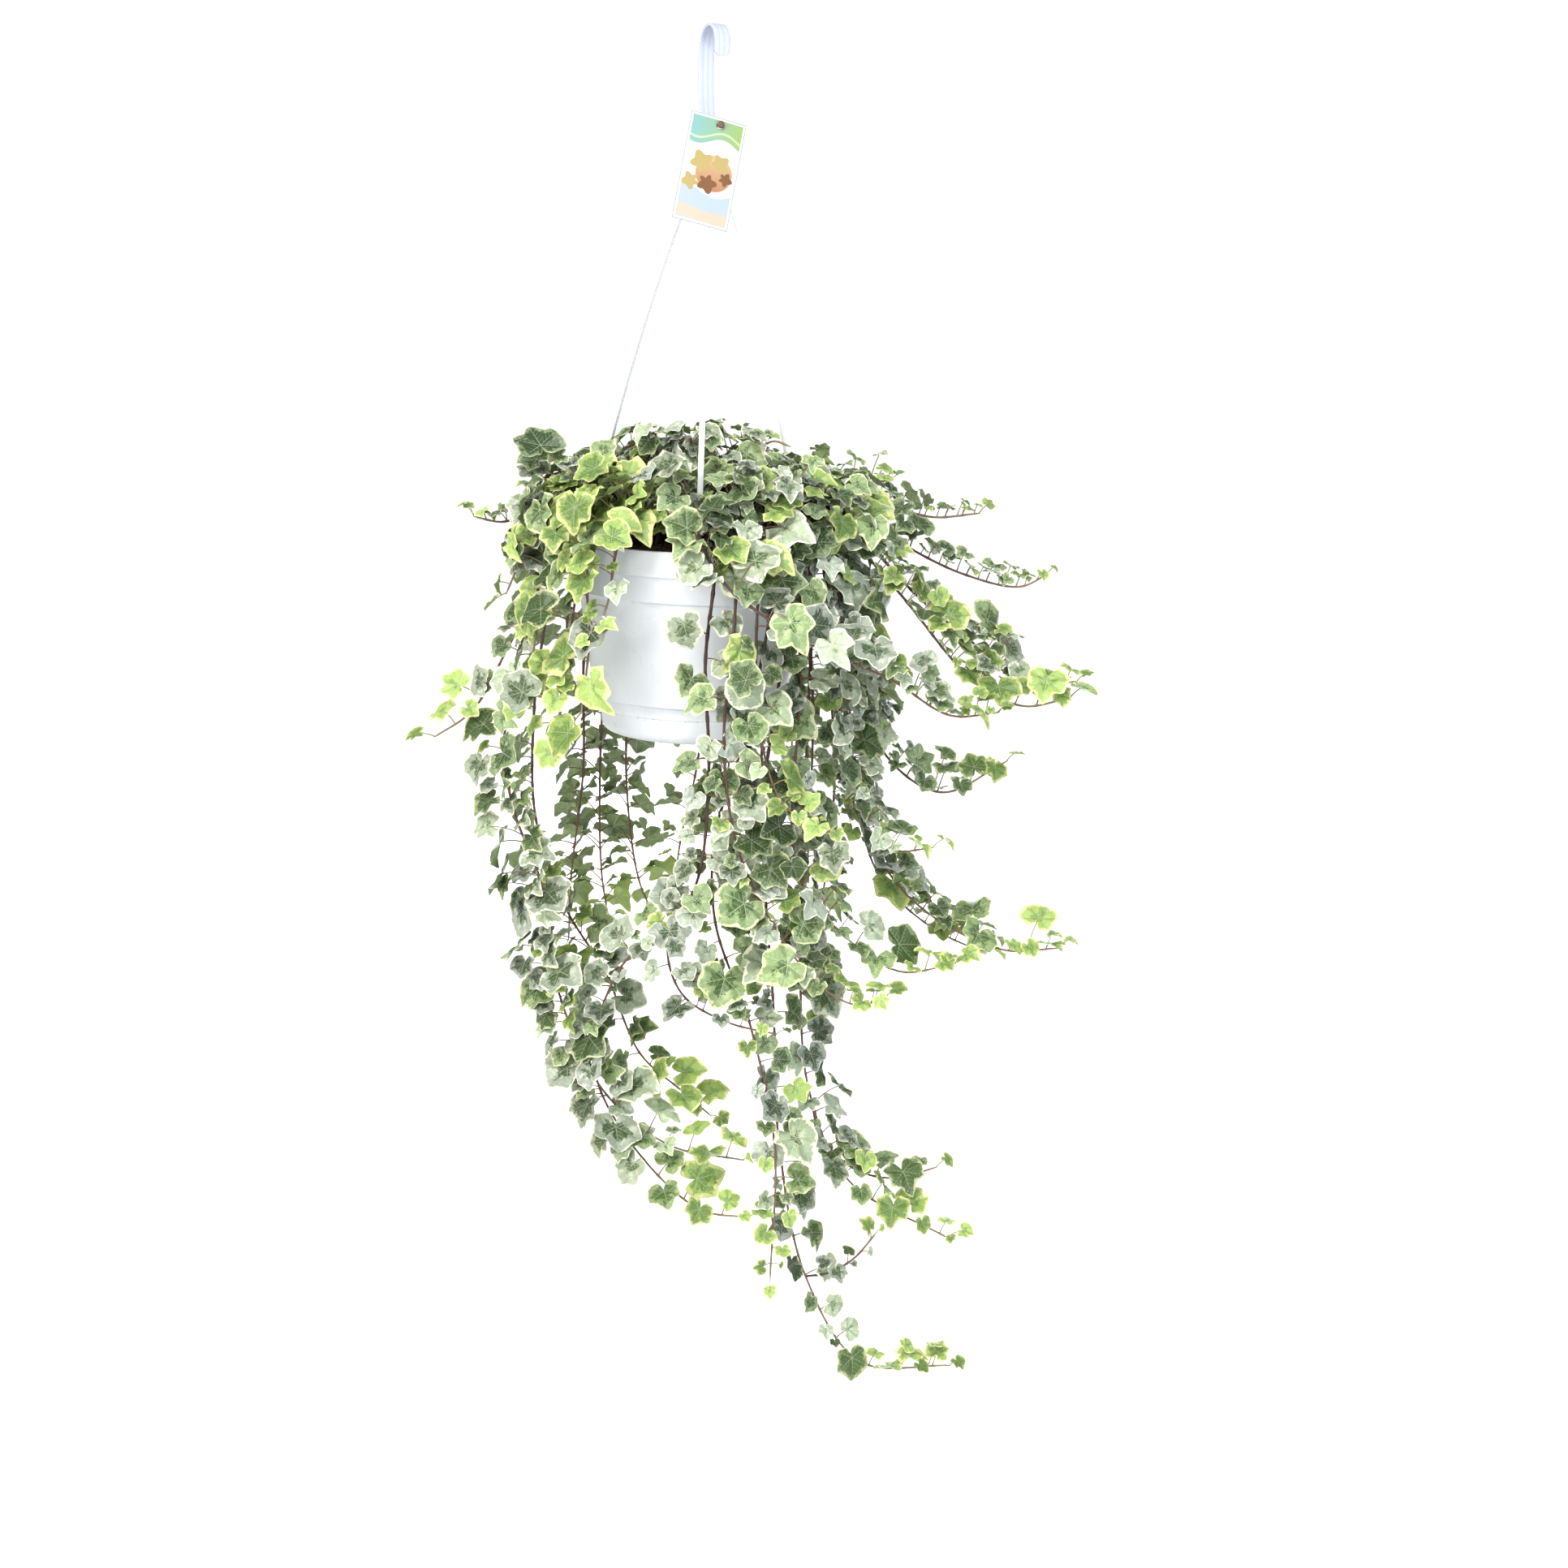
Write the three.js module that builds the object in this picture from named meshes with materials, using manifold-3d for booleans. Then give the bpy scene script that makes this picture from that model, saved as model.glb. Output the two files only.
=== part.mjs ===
import * as THREE from 'three';
import { mergeVertices } from 'three/addons/utils/BufferGeometryUtils.js';
import Module from 'manifold-3d';

// White wonder english ivy in a white hanging pot with a saucer, a hanger and a plant label.
// Millimetres, +Z up. The origin is the underside of the hook's crown, over the middle of the pot.

const wasm = await Module();
wasm.setup();

// Pot, with heights below its rim
const rimZ = -540;
const rimRadius = 135;
const skirtHeight = 27;
const bandRadius = 131;
const bandHeight = 54;
const bodyTopRadius = 126;
const bodyFootRadius = 107;
const bodyHeight = 169;
const footTopRadius = 94;
const footRadius = 92;
const footHeight = 202;
const footRing = { inner: 80, outer: 84, bottom: 207.9 };
const wall = 1.6;
const skirtGap = 2.2;
const bandStep = 2;
const footStep = 1;
const drain = { radius: 6, circle: 50, count: 4, azimuth: 45, sides: 8, length: 12 };
const ringNotch = { length: 20, width: 14, height: 4 };

// Saucer, with heights below the pot's rim
const saucer = { radius: 99, top: 170.4, groove: 182, depth: 210, base: 85, floor: 1.8 };

// Soil, with heights from the pot's rim
const soilGap = 0.3;
const soilEdgeZ = -6;
const soilMiddleZ = 5;
const rootDepth = 20;
const rootGap = 0.35;
const holeLength = 40;

// Round walls are drawn with flats that touch the true radius, one of them facing each hanger arm
const sides = 21;
const armAzimuths = { front: -86, right: 34, left: 154 };

// Hook, hub and hanger arms
const hook = { width: 17, thickness: 3, innerRadius: 20, azimuth: -65, tip: 12 };
const crownSteps = 8;
const hub = { radius: 11, top: -134, bottom: -146, sides: 12 };
const shankRoute = [[0, -138], [-4, -118], [-10, -98], [-17, -73], [-21, -45]];
const shankSteps = 7;
const arm = { width: 6, thickness: 1.8, topZ: -141, bow: 19, steps: 6, lift: 6, tongue: 3.6, clip: 8 };
const seatGap = 0.3;
const clipGap = 0.4;

// Plant label, a card that hangs on a peg and leans on the front arm
const label = { width: 60, height: 119, thickness: 0.7, turn: 16, lean: 16, roll: 12 };
const labelCentre = new THREE.Vector3(1, -26, -148);
const labelHole = { x: 2, y: 51, radius: 3.6 };
const peg = { radius: 2, headRadius: 4, headThickness: 2.4, back: -12, headGap: 2.2, slack: 1.2, sides: 10 };
const pegGap = 0.3;

// Stems and leaves
const stemSides = 3;
const stemRadius = { root: 2, tip: 1, branch: 1.3 };
const stalkTaper = 0.45;
const ringTurn = THREE.MathUtils.degToRad(24);
const ringSpacing = 110;
const ringStep = 8;
const ringMargin = 12;
const curveSteps = 400;
const bladeThickness = 0.8;
const petioleHalfWidth = 0.9;
const leafMargin = 0.5;
const stemClearance = 3.6;

// Where leaves may grow along a stem, and how far apart they do while hanging and in the crown
const leafSpacing = 30;
const leafSpacingSpread = [0.8, 0.4];
const firstLeaf = 16;
const lastLeaf = 8;
const tipLeafInset = 1.5;
const hangingLeafSpacing = 100;
const crownLeafSpacing = 52;

// How a leaf sits on its stem, in shares. Pairs are for a hanging stem and for the crown
const crownBand = { from: -20, height: 80 };
const habit = {
  outward: [0.8, 0.35],
  lift: [0.6, 1],
  levelLift: 0.8,
  size: { least: 0.78, spread: 0.5, atTip: 0.36, taperLength: 190 },
  stalk: { along: 0.3, side: 0.75, face: 0.5, tipSide: 0.2, least: 0.4, spread: 0.35 },
  tilt: { across: 0.7, along: 0.5, turn: 1.1 },
  midrib: { side: 0.55, stalk: 0.4, fall: 0.75, outward: 0.55 },
};
const channels = { crest: 1, azimuth: 2, radius: 3, reach: 4, height: 5, size: 6, stalk: 7, across: 8,
  along: 9, turn: 10, spacing: 11 };

// A stem's upright foot, and how high and how far out it rises before it passes the rim
const footHeights = [-rootDepth, 6, 14];
const crest = { least: 38, spread: 40, aboveRoute: 16, share: 0.55 };
const branchLeafShare = 0.85;

// Leaf outlines as angle from the midrib, reach and height as shares of the leaf's size
const outlines = {
  large: [[125, 0.5, -0.08], [88, 0.42, 0], [56, 0.76, -0.1], [27, 0.58, 0.01], [0, 1, -0.16]],
  medium: [[120, 0.48, -0.07], [56, 0.74, -0.09], [27, 0.56, 0.01], [0, 1, -0.15]],
  small: [[112, 0.46, -0.05], [48, 0.66, -0.06], [0, 1, -0.12]],
};
const largeLeaf = 32;
const mediumLeaf = 21;

// Each vine's route past the rim, with heights from the rim, and the azimuth and radius of its root
const vines = {
  vine_left_1: { root: [178, 75], leaf: 24, tone: 'green',
    route: [[-150, 5, 38], [-185, 0, 25], [-210, -20, 15], [-240, -30, 20]] },
  vine_left_2: { root: [170, 95], leaf: 27, tone: 'grey',
    route: [[-150, 25, 5], [-165, 20, -40], [-205, 10, -125], [-240, -15, -195], [-280, -30, -225]] },
  vine_left_3: { root: [195, 95], leaf: 29, tone: 'grey',
    route: [[-155, -40, -10], [-175, -30, -75], [-200, -40, -195], [-190, -50, -290], [-155, -60, -375],
      [-130, -70, -500], [-75, -80, -610], [0, -90, -665], [85, -100, -675]] },
  vine_left_4: { root: [162, 55], leaf: 29, tone: 'green',
    route: [[-155, 50, -10], [-170, 42, -110], [-180, 50, -205], [-175, 50, -330], [-135, 30, -430],
      [-85, 0, -495], [-40, -30, -580], [10, -50, -615], [45, -60, -640]] },
  vine_left_5: { root: [186, 55], leaf: 27, tone: 'grey',
    route: [[-150, -15, 30], [-180, -42, -10], [-200, -55, -60]] },
  vine_left_6: { root: [206, 75], leaf: 31, tone: 'grey',
    route: [[-145, -72, -20], [-162, -85, -95], [-168, -95, -160]] },
  vine_left_7: { root: [217, 95], leaf: 33, tone: 'lime',
    route: [[-125, -92, -30], [-128, -110, -110], [-133, -130, -205]] },
  vine_left_8: { root: [228, 55], leaf: 30, tone: 'lime',
    route: [[-105, -118, -10], [-100, -140, -95], [-105, -155, -170]] },
  vine_left_9: { root: [239, 75], leaf: 27, tone: 'lime',
    route: [[-76, -135, -5], [-80, -155, -50], [-90, -165, -85]] },
  vine_back_1: { root: [144, 75], leaf: 27, tone: 'green',
    route: [[-130, 92, -20], [-150, 105, -150], [-160, 110, -260]] },
  vine_back_2: { root: [134, 95], leaf: 22, tone: 'green',
    route: [[-112, 115, -20], [-132, 128, -140], [-130, 130, -285], [-140, 120, -415], [-140, 110, -490]] },
  vine_back_3: { root: [125, 55], leaf: 22, tone: 'green',
    route: [[-92, 130, -20], [-108, 152, -145], [-112, 152, -290], [-105, 140, -415], [-90, 130, -485]] },
  vine_back_4: { root: [115, 75], leaf: 22, tone: 'green',
    route: [[-66, 142, -20], [-78, 168, -145], [-82, 168, -290], [-62, 155, -420], [-40, 142, -465]] },
  vine_back_5: { root: [103, 95], leaf: 27, tone: 'grey',
    route: [[-35, 150, -20], [-35, 170, -140], [-30, 165, -240]] },
  vine_back_6: { root: [92, 55], leaf: 22, tone: 'green',
    route: [[-5, 155, -20], [10, 155, -135], [5, 152, -270], [-12, 142, -370], [-18, 136, -440]] },
  vine_back_7: { root: [80, 75], leaf: 28, tone: 'grey',
    route: [[25, 152, -20], [42, 165, -150], [40, 160, -300], [25, 150, -380]] },
  vine_back_8: { root: [68, 95], leaf: 27, tone: 'green',
    route: [[57, 142, -20], [75, 152, -150], [82, 145, -340], [75, 135, -480]] },
  vine_back_9: { root: [57, 55], leaf: 29, tone: 'grey',
    route: [[84, 128, -20], [108, 138, -140], [118, 140, -260]] },
  vine_back_10: { root: [47, 75], leaf: 27, tone: 'green',
    route: [[107, 112, -20], [135, 118, -150], [142, 112, -340], [138, 100, -500]] },
  vine_front_1: { root: [-79, 75], leaf: 29, tone: 'grey',
    route: [[28, -146, -15], [22, -150, -110], [30, -150, -230], [15, -118, -370], [-65, -85, -470],
      [-88, -75, -580], [-50, -80, -660], [35, -110, -730], [95, -130, -730]],
    branches: [[[15, -118, -370], [-8, -122, -425], [10, -125, -478], [60, -122, -508], [115, -120, -520]]] },
  vine_front_2: { root: [-70, 55], leaf: 30, tone: 'grey',
    route: [[50, -148, -15], [50, -168, -95], [45, -168, -185], [62, -152, -300], [105, -145, -390],
      [160, -150, -455], [200, -160, -470], [230, -170, -455]] },
  vine_front_3: { root: [-62, 95], leaf: 32, tone: 'lime',
    route: [[72, -138, -15], [74, -152, -90], [78, -155, -160], [108, -170, -250], [155, -180, -280]] },
  vine_front_4: { root: [-56, 75], leaf: 26, tone: 'green',
    route: [[88, -128, -20], [78, -135, -120], [55, -128, -235], [38, -115, -300], [42, -108, -400],
      [85, -108, -515], [118, -118, -650], [120, -130, -800]] },
  vine_front_5: { root: [-50, 55], leaf: 28, tone: 'grey',
    route: [[102, -118, -20], [100, -118, -120], [88, -100, -275], [110, -88, -505], [122, -90, -650],
      [160, -100, -810], [225, -120, -900], [325, -150, -885]],
    branches: [[[160, -100, -810], [185, -110, -800], [212, -118, -778], [235, -122, -745]]] },
  vine_front_6: { root: [-43, 95], leaf: 27, tone: 'green',
    route: [[115, -106, -20], [122, -115, -130], [128, -120, -335], [180, -112, -405], [245, -110, -445],
      [305, -120, -430]] },
  vine_front_7: { root: [-88.5, 55], leaf: 31, tone: 'grey',
    route: [[8, -150, 28], [40, -185, -25], [125, -182, -80], [215, -162, -118], [280, -145, -155],
      [330, -142, -150]] },
  vine_right_1: { root: [-36, 75], leaf: 28, tone: 'green',
    route: [[126, -88, -15], [132, -88, -190], [138, -55, -475], [155, -50, -610], [205, -60, -710],
      [320, -80, -765]],
    branches: [[[155, -50, -610], [172, -36, -668], [212, -34, -706], [258, -40, -712], [305, -50, -692]]] },
  vine_right_2: { root: [-29, 95], leaf: 30, tone: 'grey',
    route: [[138, -74, -5], [158, -88, -120], [185, -76, -240], [230, -80, -315], [275, -90, -310]] },
  vine_right_3: { root: [-21, 55], leaf: 31, tone: 'grey',
    route: [[148, -55, -5], [172, -52, -110], [180, -48, -220], [182, -40, -290]] },
  vine_right_4: { root: [-14, 75], leaf: 27, tone: 'lime',
    route: [[160, -42, 25], [225, -48, -40], [310, -62, -130], [362, -75, -152], [412, -92, -138]] },
  vine_right_5: { root: [-7, 95], leaf: 27, tone: 'green',
    route: [[156, -20, -15], [185, -16, -130], [222, -12, -225], [285, -20, -262], [355, -35, -220]] },
  vine_right_6: { root: [0, 55], leaf: 27, tone: 'green',
    route: [[158, 2, -15], [172, 4, -165], [192, -8, -290], [260, -30, -385], [360, -55, -430],
      [422, -75, -420]] },
  vine_right_7: { root: [7, 75], leaf: 26, tone: 'green',
    route: [[165, 18, 30], [250, 18, -50], [320, 5, -102], [372, -2, -140], [428, -20, -130]] },
  vine_right_8: { root: [13, 95], leaf: 27, tone: 'green',
    route: [[155, 37, -20], [178, 32, -190], [220, 18, -365], [285, 8, -425], [345, 0, -450]] },
  vine_right_9: { root: [19, 55], leaf: 24, tone: 'green',
    route: [[155, 50, 45], [230, 62, 5], [300, 62, -25], [365, 55, -36], [395, 50, -20]] },
  vine_right_10: { root: [25, 75], leaf: 26, tone: 'grey',
    route: [[145, 66, -20], [160, 66, -175], [168, 60, -305], [160, 50, -420], [158, 40, -590]] },
  vine_right_11: { root: [30, 95], leaf: 22, tone: 'green',
    route: [[125, 72, 62], [185, 95, 58], [260, 100, 35], [318, 90, 42]] },
  vine_right_12: { root: [40, 95], leaf: 22, tone: 'green',
    route: [[115, 98, 70], [165, 128, 68], [218, 138, 72]] },
};

// Upright shoots in the middle of the crown
const shoots = { count: 9, turnSpread: 20, rootRadius: 22, radiusSpread: 12, reach: 46, reachSpread: 58,
  height: 72, heightSpread: 34, bendShare: 0.4, bendHeight: 0.72, tipReach: 24, tipDrop: 4, leaf: 33,
  firstIndex: 60, tones: ['grey', 'green', 'grey', 'lime'] };

const tones = { grey: '#93a59a', green: '#5d7c5c', lime: '#a6c65c' };
const plastic = new THREE.MeshStandardMaterial({ color: '#eef1f7', roughness: 0.35, metalness: 0 });
const peat = new THREE.MeshStandardMaterial({ color: '#3a2a20', roughness: 0.95, metalness: 0 });
const card = new THREE.MeshStandardMaterial({ color: '#f4f6ef', roughness: 0.5, metalness: 0 });
const brownPlastic = new THREE.MeshStandardMaterial({ color: '#5b4338', roughness: 0.5, metalness: 0 });

// Solids

function solidFrom(positions, triangles) {
  const mesh = new wasm.Mesh({
    numProp: 3,
    vertProperties: Float32Array.from(positions),
    triVerts: Uint32Array.from(triangles),
  });
  return new wasm.Manifold(mesh);
}

function solidOf(geometry) {
  const bare = geometry.clone();
  bare.deleteAttribute('normal');
  bare.deleteAttribute('uv');
  const merged = mergeVertices(bare, 1e-3);
  const positions = merged.getAttribute('position').array;
  const corners = Array.from(merged.getIndex().array);
  const triangles = [];
  for (let i = 0; i < corners.length; i += 3) {
    const [a, b, c] = corners.slice(i, i + 3);
    if (a !== b && b !== c && c !== a) {
      triangles.push(a, b, c);
    }
  }
  return solidFrom(positions, triangles);
}

function geometryOf(solid) {
  const mesh = solid.getMesh();
  const geometry = new THREE.BufferGeometry();
  geometry.setAttribute('position', new THREE.BufferAttribute(mesh.vertProperties, 3));
  geometry.setIndex(new THREE.BufferAttribute(mesh.triVerts, 1));
  geometry.computeVertexNormals();
  return geometry;
}

// A turned wall: radius and height pairs, from the axis or closed, with one flat facing the front arm
function turned(profile, count = sides) {
  const reach = 1 / Math.cos(Math.PI / count);
  const points = profile.map(([radius, z]) => new THREE.Vector2(radius * reach, z));
  const start = THREE.MathUtils.degToRad(armAzimuths.front + 90 + 180 / count);
  const geometry = new THREE.LatheGeometry(points, count, start);
  geometry.rotateX(Math.PI / 2);
  return solidOf(geometry);
}

function fromRim(profile) {
  return profile.map(([radius, depth]) => [radius, rimZ - depth]);
}

function direction(azimuth) {
  const angle = THREE.MathUtils.degToRad(azimuth);
  return new THREE.Vector3(Math.cos(angle), Math.sin(angle), 0);
}

// A flat strip bent in the upright plane of an azimuth, from its centreline of radius and height
function strip(centreline, thickness, width, azimuth) {
  const left = [];
  const right = [];
  centreline.forEach((point, i) => {
    const before = centreline[Math.max(i - 1, 0)];
    const after = centreline[Math.min(i + 1, centreline.length - 1)];
    const normal = new THREE.Vector2(before.y - after.y, after.x - before.x).normalize();
    left.push(point.clone().addScaledVector(normal, thickness / 2));
    right.unshift(point.clone().addScaledVector(normal, -thickness / 2));
  });
  const shape = new THREE.Shape([...left, ...right]);
  const geometry = new THREE.ExtrudeGeometry(shape, { depth: width, bevelEnabled: false });
  geometry.translate(0, 0, -width / 2);
  const out = direction(azimuth);
  const up = new THREE.Vector3(0, 0, 1);
  geometry.applyMatrix4(new THREE.Matrix4().makeBasis(out, up, out.clone().cross(up)));
  return solidOf(geometry);
}

// Pot, saucer and soil

function makePot() {
  const profile = fromRim([
    [0, footHeight],
    [footRing.inner, footHeight],
    [footRing.inner, footRing.bottom],
    [footRing.outer, footRing.bottom],
    [footRing.outer, footHeight],
    [footRadius, footHeight],
    [footTopRadius, bodyHeight + footStep],
    [bodyFootRadius, bodyHeight],
    [bodyTopRadius, bandHeight + bandStep],
    [bandRadius, bandHeight],
    [bandRadius, skirtGap],
    [rimRadius - wall, skirtGap],
    [rimRadius - wall, skirtHeight],
    [rimRadius, skirtHeight],
    [rimRadius, 0],
    [bandRadius - wall, 0],
    [bandRadius - wall, bandHeight],
    [bodyTopRadius - wall, bandHeight + bandStep],
    [bodyFootRadius - wall, bodyHeight - wall],
    [footTopRadius - wall, bodyHeight - wall + footStep],
    [footRadius - wall, footHeight - wall],
    [0, footHeight - wall],
  ]);
  let pot = turned(profile);
  for (let i = 0; i < drain.count; i += 1) {
    const azimuth = (360 / drain.count) * i + drain.azimuth;
    const hole = new THREE.CylinderGeometry(drain.radius, drain.radius, drain.length, drain.sides);
    hole.rotateX(Math.PI / 2);
    const place = direction(azimuth).multiplyScalar(drain.circle);
    hole.translate(place.x, place.y, rimZ - footHeight);
    pot = pot.subtract(solidOf(hole));
    const notch = new THREE.BoxGeometry(ringNotch.length, ringNotch.width, ringNotch.height);
    notch.rotateZ(THREE.MathUtils.degToRad(azimuth));
    const edge = direction(azimuth).multiplyScalar(footRing.inner);
    notch.translate(edge.x, edge.y, rimZ - footRing.bottom);
    pot = pot.subtract(solidOf(notch));
  }
  return pot;
}

function makeSaucer() {
  const { radius, top, groove, depth, base, floor } = saucer;
  return turned(fromRim([
    [0, depth],
    [base, depth],
    [radius - 6, depth - 3],
    [radius - 2, depth - 9],
    [radius - 0.7, groove + 3],
    [radius - 1.6, groove + 1],
    [radius, groove],
    [radius, top],
    [radius - wall, top],
    [radius - wall - 1, depth - 10],
    [radius - 9, depth - floor],
    [0, depth - floor],
  ]));
}

function makeSoil(rootHoles) {
  const inset = wall + soilGap;
  const profile = fromRim([
    [0, footHeight - inset],
    [footRadius - inset, footHeight - inset],
    [footTopRadius - inset, bodyHeight + footStep - inset],
    [bodyFootRadius - inset, bodyHeight - inset],
    [bodyTopRadius - inset, bandHeight + bandStep - soilGap],
    [bandRadius - inset, bandHeight - soilGap],
    [bandRadius - inset, -soilEdgeZ],
    [0, -soilMiddleZ],
  ]);
  return rootHoles.reduce((soil, hole) => soil.subtract(hole), turned(profile));
}

// Hook, hanger arms, label and its peg

function makeHook() {
  const middle = hook.innerRadius + hook.thickness / 2;
  const route = [...shankRoute, [-middle, -hook.innerRadius]];
  const shank = new THREE.SplineCurve(route.map(([along, z]) => new THREE.Vector2(along, z)));
  const crown = [];
  for (let i = 1; i <= crownSteps; i += 1) {
    const angle = Math.PI * (1 - i / crownSteps);
    crown.push(new THREE.Vector2(middle * Math.cos(angle), middle * Math.sin(angle) - hook.innerRadius));
  }
  const tip = new THREE.Vector2(middle - 1, -hook.innerRadius - hook.tip);
  const centreline = [...shank.getPoints(shankSteps), ...crown, tip];
  const strap = strip(centreline, hook.thickness, hook.width, hook.azimuth);
  const boss = turned([[0, hub.bottom], [hub.radius, hub.bottom], [hub.radius, hub.top], [0, hub.top]],
    hub.sides);
  return strap.add(boss).subtract(makePeg(pegGap));
}

function makeArm(azimuth) {
  const outside = rimRadius + seatGap + arm.thickness / 2;
  const start = new THREE.Vector2(hub.radius + seatGap + arm.thickness / 2, arm.topZ);
  const end = new THREE.Vector2(outside, rimZ + arm.lift);
  const along = end.clone().sub(start).normalize();
  const bend = start.clone().lerp(end, 0.5).addScaledVector(new THREE.Vector2(-along.y, along.x), arm.bow);
  const bow = new THREE.QuadraticBezierCurve(start, bend, end).getPoints(arm.steps);
  const low = rimZ - skirtHeight - clipGap - arm.thickness / 2;
  const clip = [[outside, low + arm.clip], [outside, low], [outside - arm.tongue, low]];
  const clipPoints = clip.map(([radius, z]) => new THREE.Vector2(radius, z));
  return strip([...bow, ...clipPoints], arm.thickness, arm.width, azimuth);
}

// Axes of the label's card: across, up and out of its face
function labelAxes() {
  const turn = THREE.MathUtils.degToRad(label.turn);
  const lean = THREE.MathUtils.degToRad(label.lean);
  const roll = THREE.MathUtils.degToRad(label.roll);
  const level = new THREE.Vector3(Math.cos(turn), Math.sin(turn), 0);
  const forward = new THREE.Vector3(Math.sin(turn), -Math.cos(turn), 0);
  const rise = new THREE.Vector3(0, 0, Math.cos(lean)).addScaledVector(forward, -Math.sin(lean));
  const face = new THREE.Vector3(0, 0, Math.sin(lean)).addScaledVector(forward, Math.cos(lean));
  const across = level.clone().multiplyScalar(Math.cos(roll)).addScaledVector(rise, -Math.sin(roll));
  const up = rise.clone().multiplyScalar(Math.cos(roll)).addScaledVector(level, Math.sin(roll));
  return { across, up, face };
}

function makeLabel() {
  const { across, up, face } = labelAxes();
  const halfWidth = label.width / 2;
  const halfHeight = label.height / 2;
  const shape = new THREE.Shape([
    new THREE.Vector2(-halfWidth, -halfHeight),
    new THREE.Vector2(halfWidth, -halfHeight),
    new THREE.Vector2(halfWidth, halfHeight),
    new THREE.Vector2(-halfWidth, halfHeight),
  ]);
  const hole = new THREE.Path();
  hole.absarc(labelHole.x, labelHole.y, labelHole.radius, 0, 2 * Math.PI, true);
  shape.holes.push(hole);
  const options = { depth: label.thickness, bevelEnabled: false, curveSegments: 12 };
  const geometry = new THREE.ExtrudeGeometry(shape, options);
  geometry.translate(0, 0, -label.thickness / 2);
  geometry.applyMatrix4(new THREE.Matrix4().makeBasis(across, up, face));
  geometry.translate(labelCentre.x, labelCentre.y, labelCentre.z);
  return solidOf(geometry);
}

// The peg runs out of the hook's strap, through the label's hole, and ends in a head
function makePeg(clearance = 0) {
  const { across, up } = labelAxes();
  const hole = labelCentre.clone();
  hole.addScaledVector(across, labelHole.x);
  hole.addScaledVector(up, labelHole.y);
  const out = direction(hook.azimuth);
  const sideways = out.clone().cross(new THREE.Vector3(0, 0, 1));
  const front = hole.dot(out);
  const neck = front + peg.headGap;
  const profile = [
    [0, peg.back - clearance],
    [peg.radius + clearance, peg.back - clearance],
    [peg.radius + clearance, neck],
    [peg.headRadius, neck],
    [peg.headRadius, neck + peg.headThickness],
    [0, neck + peg.headThickness],
  ];
  const points = profile.map(([radius, z]) => new THREE.Vector2(radius, z));
  const geometry = new THREE.LatheGeometry(points, peg.sides);
  geometry.applyMatrix4(new THREE.Matrix4().makeBasis(sideways, out, new THREE.Vector3(0, 0, 1)));
  const offset = hole.dot(sideways);
  geometry.translate(sideways.x * offset, sideways.y * offset, hole.z + peg.slack);
  return solidOf(geometry);
}

// Growth rule

// A number from 0 to 1 that is always the same for one stem, place on it and channel
function draw(vine, station, channel) {
  const value = Math.sin(vine * 12.9898 + station * 78.233 + channel * 37.719) * 43758.5453;
  return value - Math.floor(value);
}

function atRim([x, y, z]) {
  return new THREE.Vector3(x, y, rimZ + z);
}

function curveThrough(points) {
  const curve = new THREE.CatmullRomCurve3(points, false, 'centripetal');
  curve.arcLengthDivisions = curveSteps;
  return curve;
}

// A stem stands upright in the soil, rises over the rim and then follows its route
function vineCurve(vine, index) {
  const [azimuth, radius] = vine.root;
  const out = direction(azimuth);
  const first = vine.route[0];
  const firstRadius = Math.hypot(first[0], first[1]);
  const rise = crest.least + crest.spread * draw(index, 0, channels.crest);
  const topZ = Math.max(rise, first[2] + crest.aboveRoute);
  const topRadius = radius + (firstRadius - radius) * crest.share;
  const foot = footHeights.map((z) => atRim([out.x * radius, out.y * radius, z]));
  const top = atRim([out.x * topRadius, out.y * topRadius, topZ]);
  return curveThrough([...foot, top, ...vine.route.map(atRim)]);
}

function shootCurve(index) {
  const turn = shoots.turnSpread * draw(index, 1, channels.azimuth);
  const radius = shoots.rootRadius + shoots.radiusSpread * draw(index, 1, channels.radius);
  const reach = shoots.reach + shoots.reachSpread * draw(index, 1, channels.reach);
  const height = shoots.height + shoots.heightSpread * draw(index, 1, channels.height);
  const out = direction((360 / shoots.count) * index + turn);
  const profile = [
    ...footHeights.map((z) => [radius, z]),
    [radius + (reach - radius) * shoots.bendShare, height * shoots.bendHeight],
    [reach, height],
    [reach + shoots.tipReach, height - shoots.tipDrop],
  ];
  return curveThrough(profile.map(([along, z]) => atRim([out.x * along, out.y * along, z])));
}

// How far along a curve, as a share of its length, a point on it lies
function shareAt(curve, point) {
  const shares = Array.from({ length: curveSteps + 1 }, (_, i) => i / curveSteps);
  const distances = shares.map((u) => curve.getPointAt(u).distanceTo(point));
  return shares[distances.indexOf(Math.min(...distances))];
}

// Places along a stem where it gets a ring: its foot, the top of its hole, its forks and its turns
function ringStations(curve, straight, forks) {
  const length = curve.getLength();
  const steps = Math.ceil(length / ringStep);
  const stations = straight > 0 ? [0, straight / length] : [0];
  let last = stations[stations.length - 1];
  let lastTangent = curve.getTangentAt(last);
  for (let i = 1; i < steps; i += 1) {
    const u = i / steps;
    const tangent = curve.getTangentAt(u);
    const turnedFar = tangent.angleTo(lastTangent) > ringTurn;
    const grownFar = (u - last) * length > ringSpacing;
    if (u > last && (turnedFar || grownFar) && (1 - u) * length > ringMargin) {
      stations.push(u);
      last = u;
      lastTangent = tangent;
    }
  }
  const forkShares = forks.map((fork) => shareAt(curve, fork));
  return [...stations, ...forkShares, 1].sort((a, b) => a - b);
}

function stemOf(stem) {
  return { ...stem, stations: ringStations(stem.curve, stem.straight, stem.forks ?? []) };
}

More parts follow.
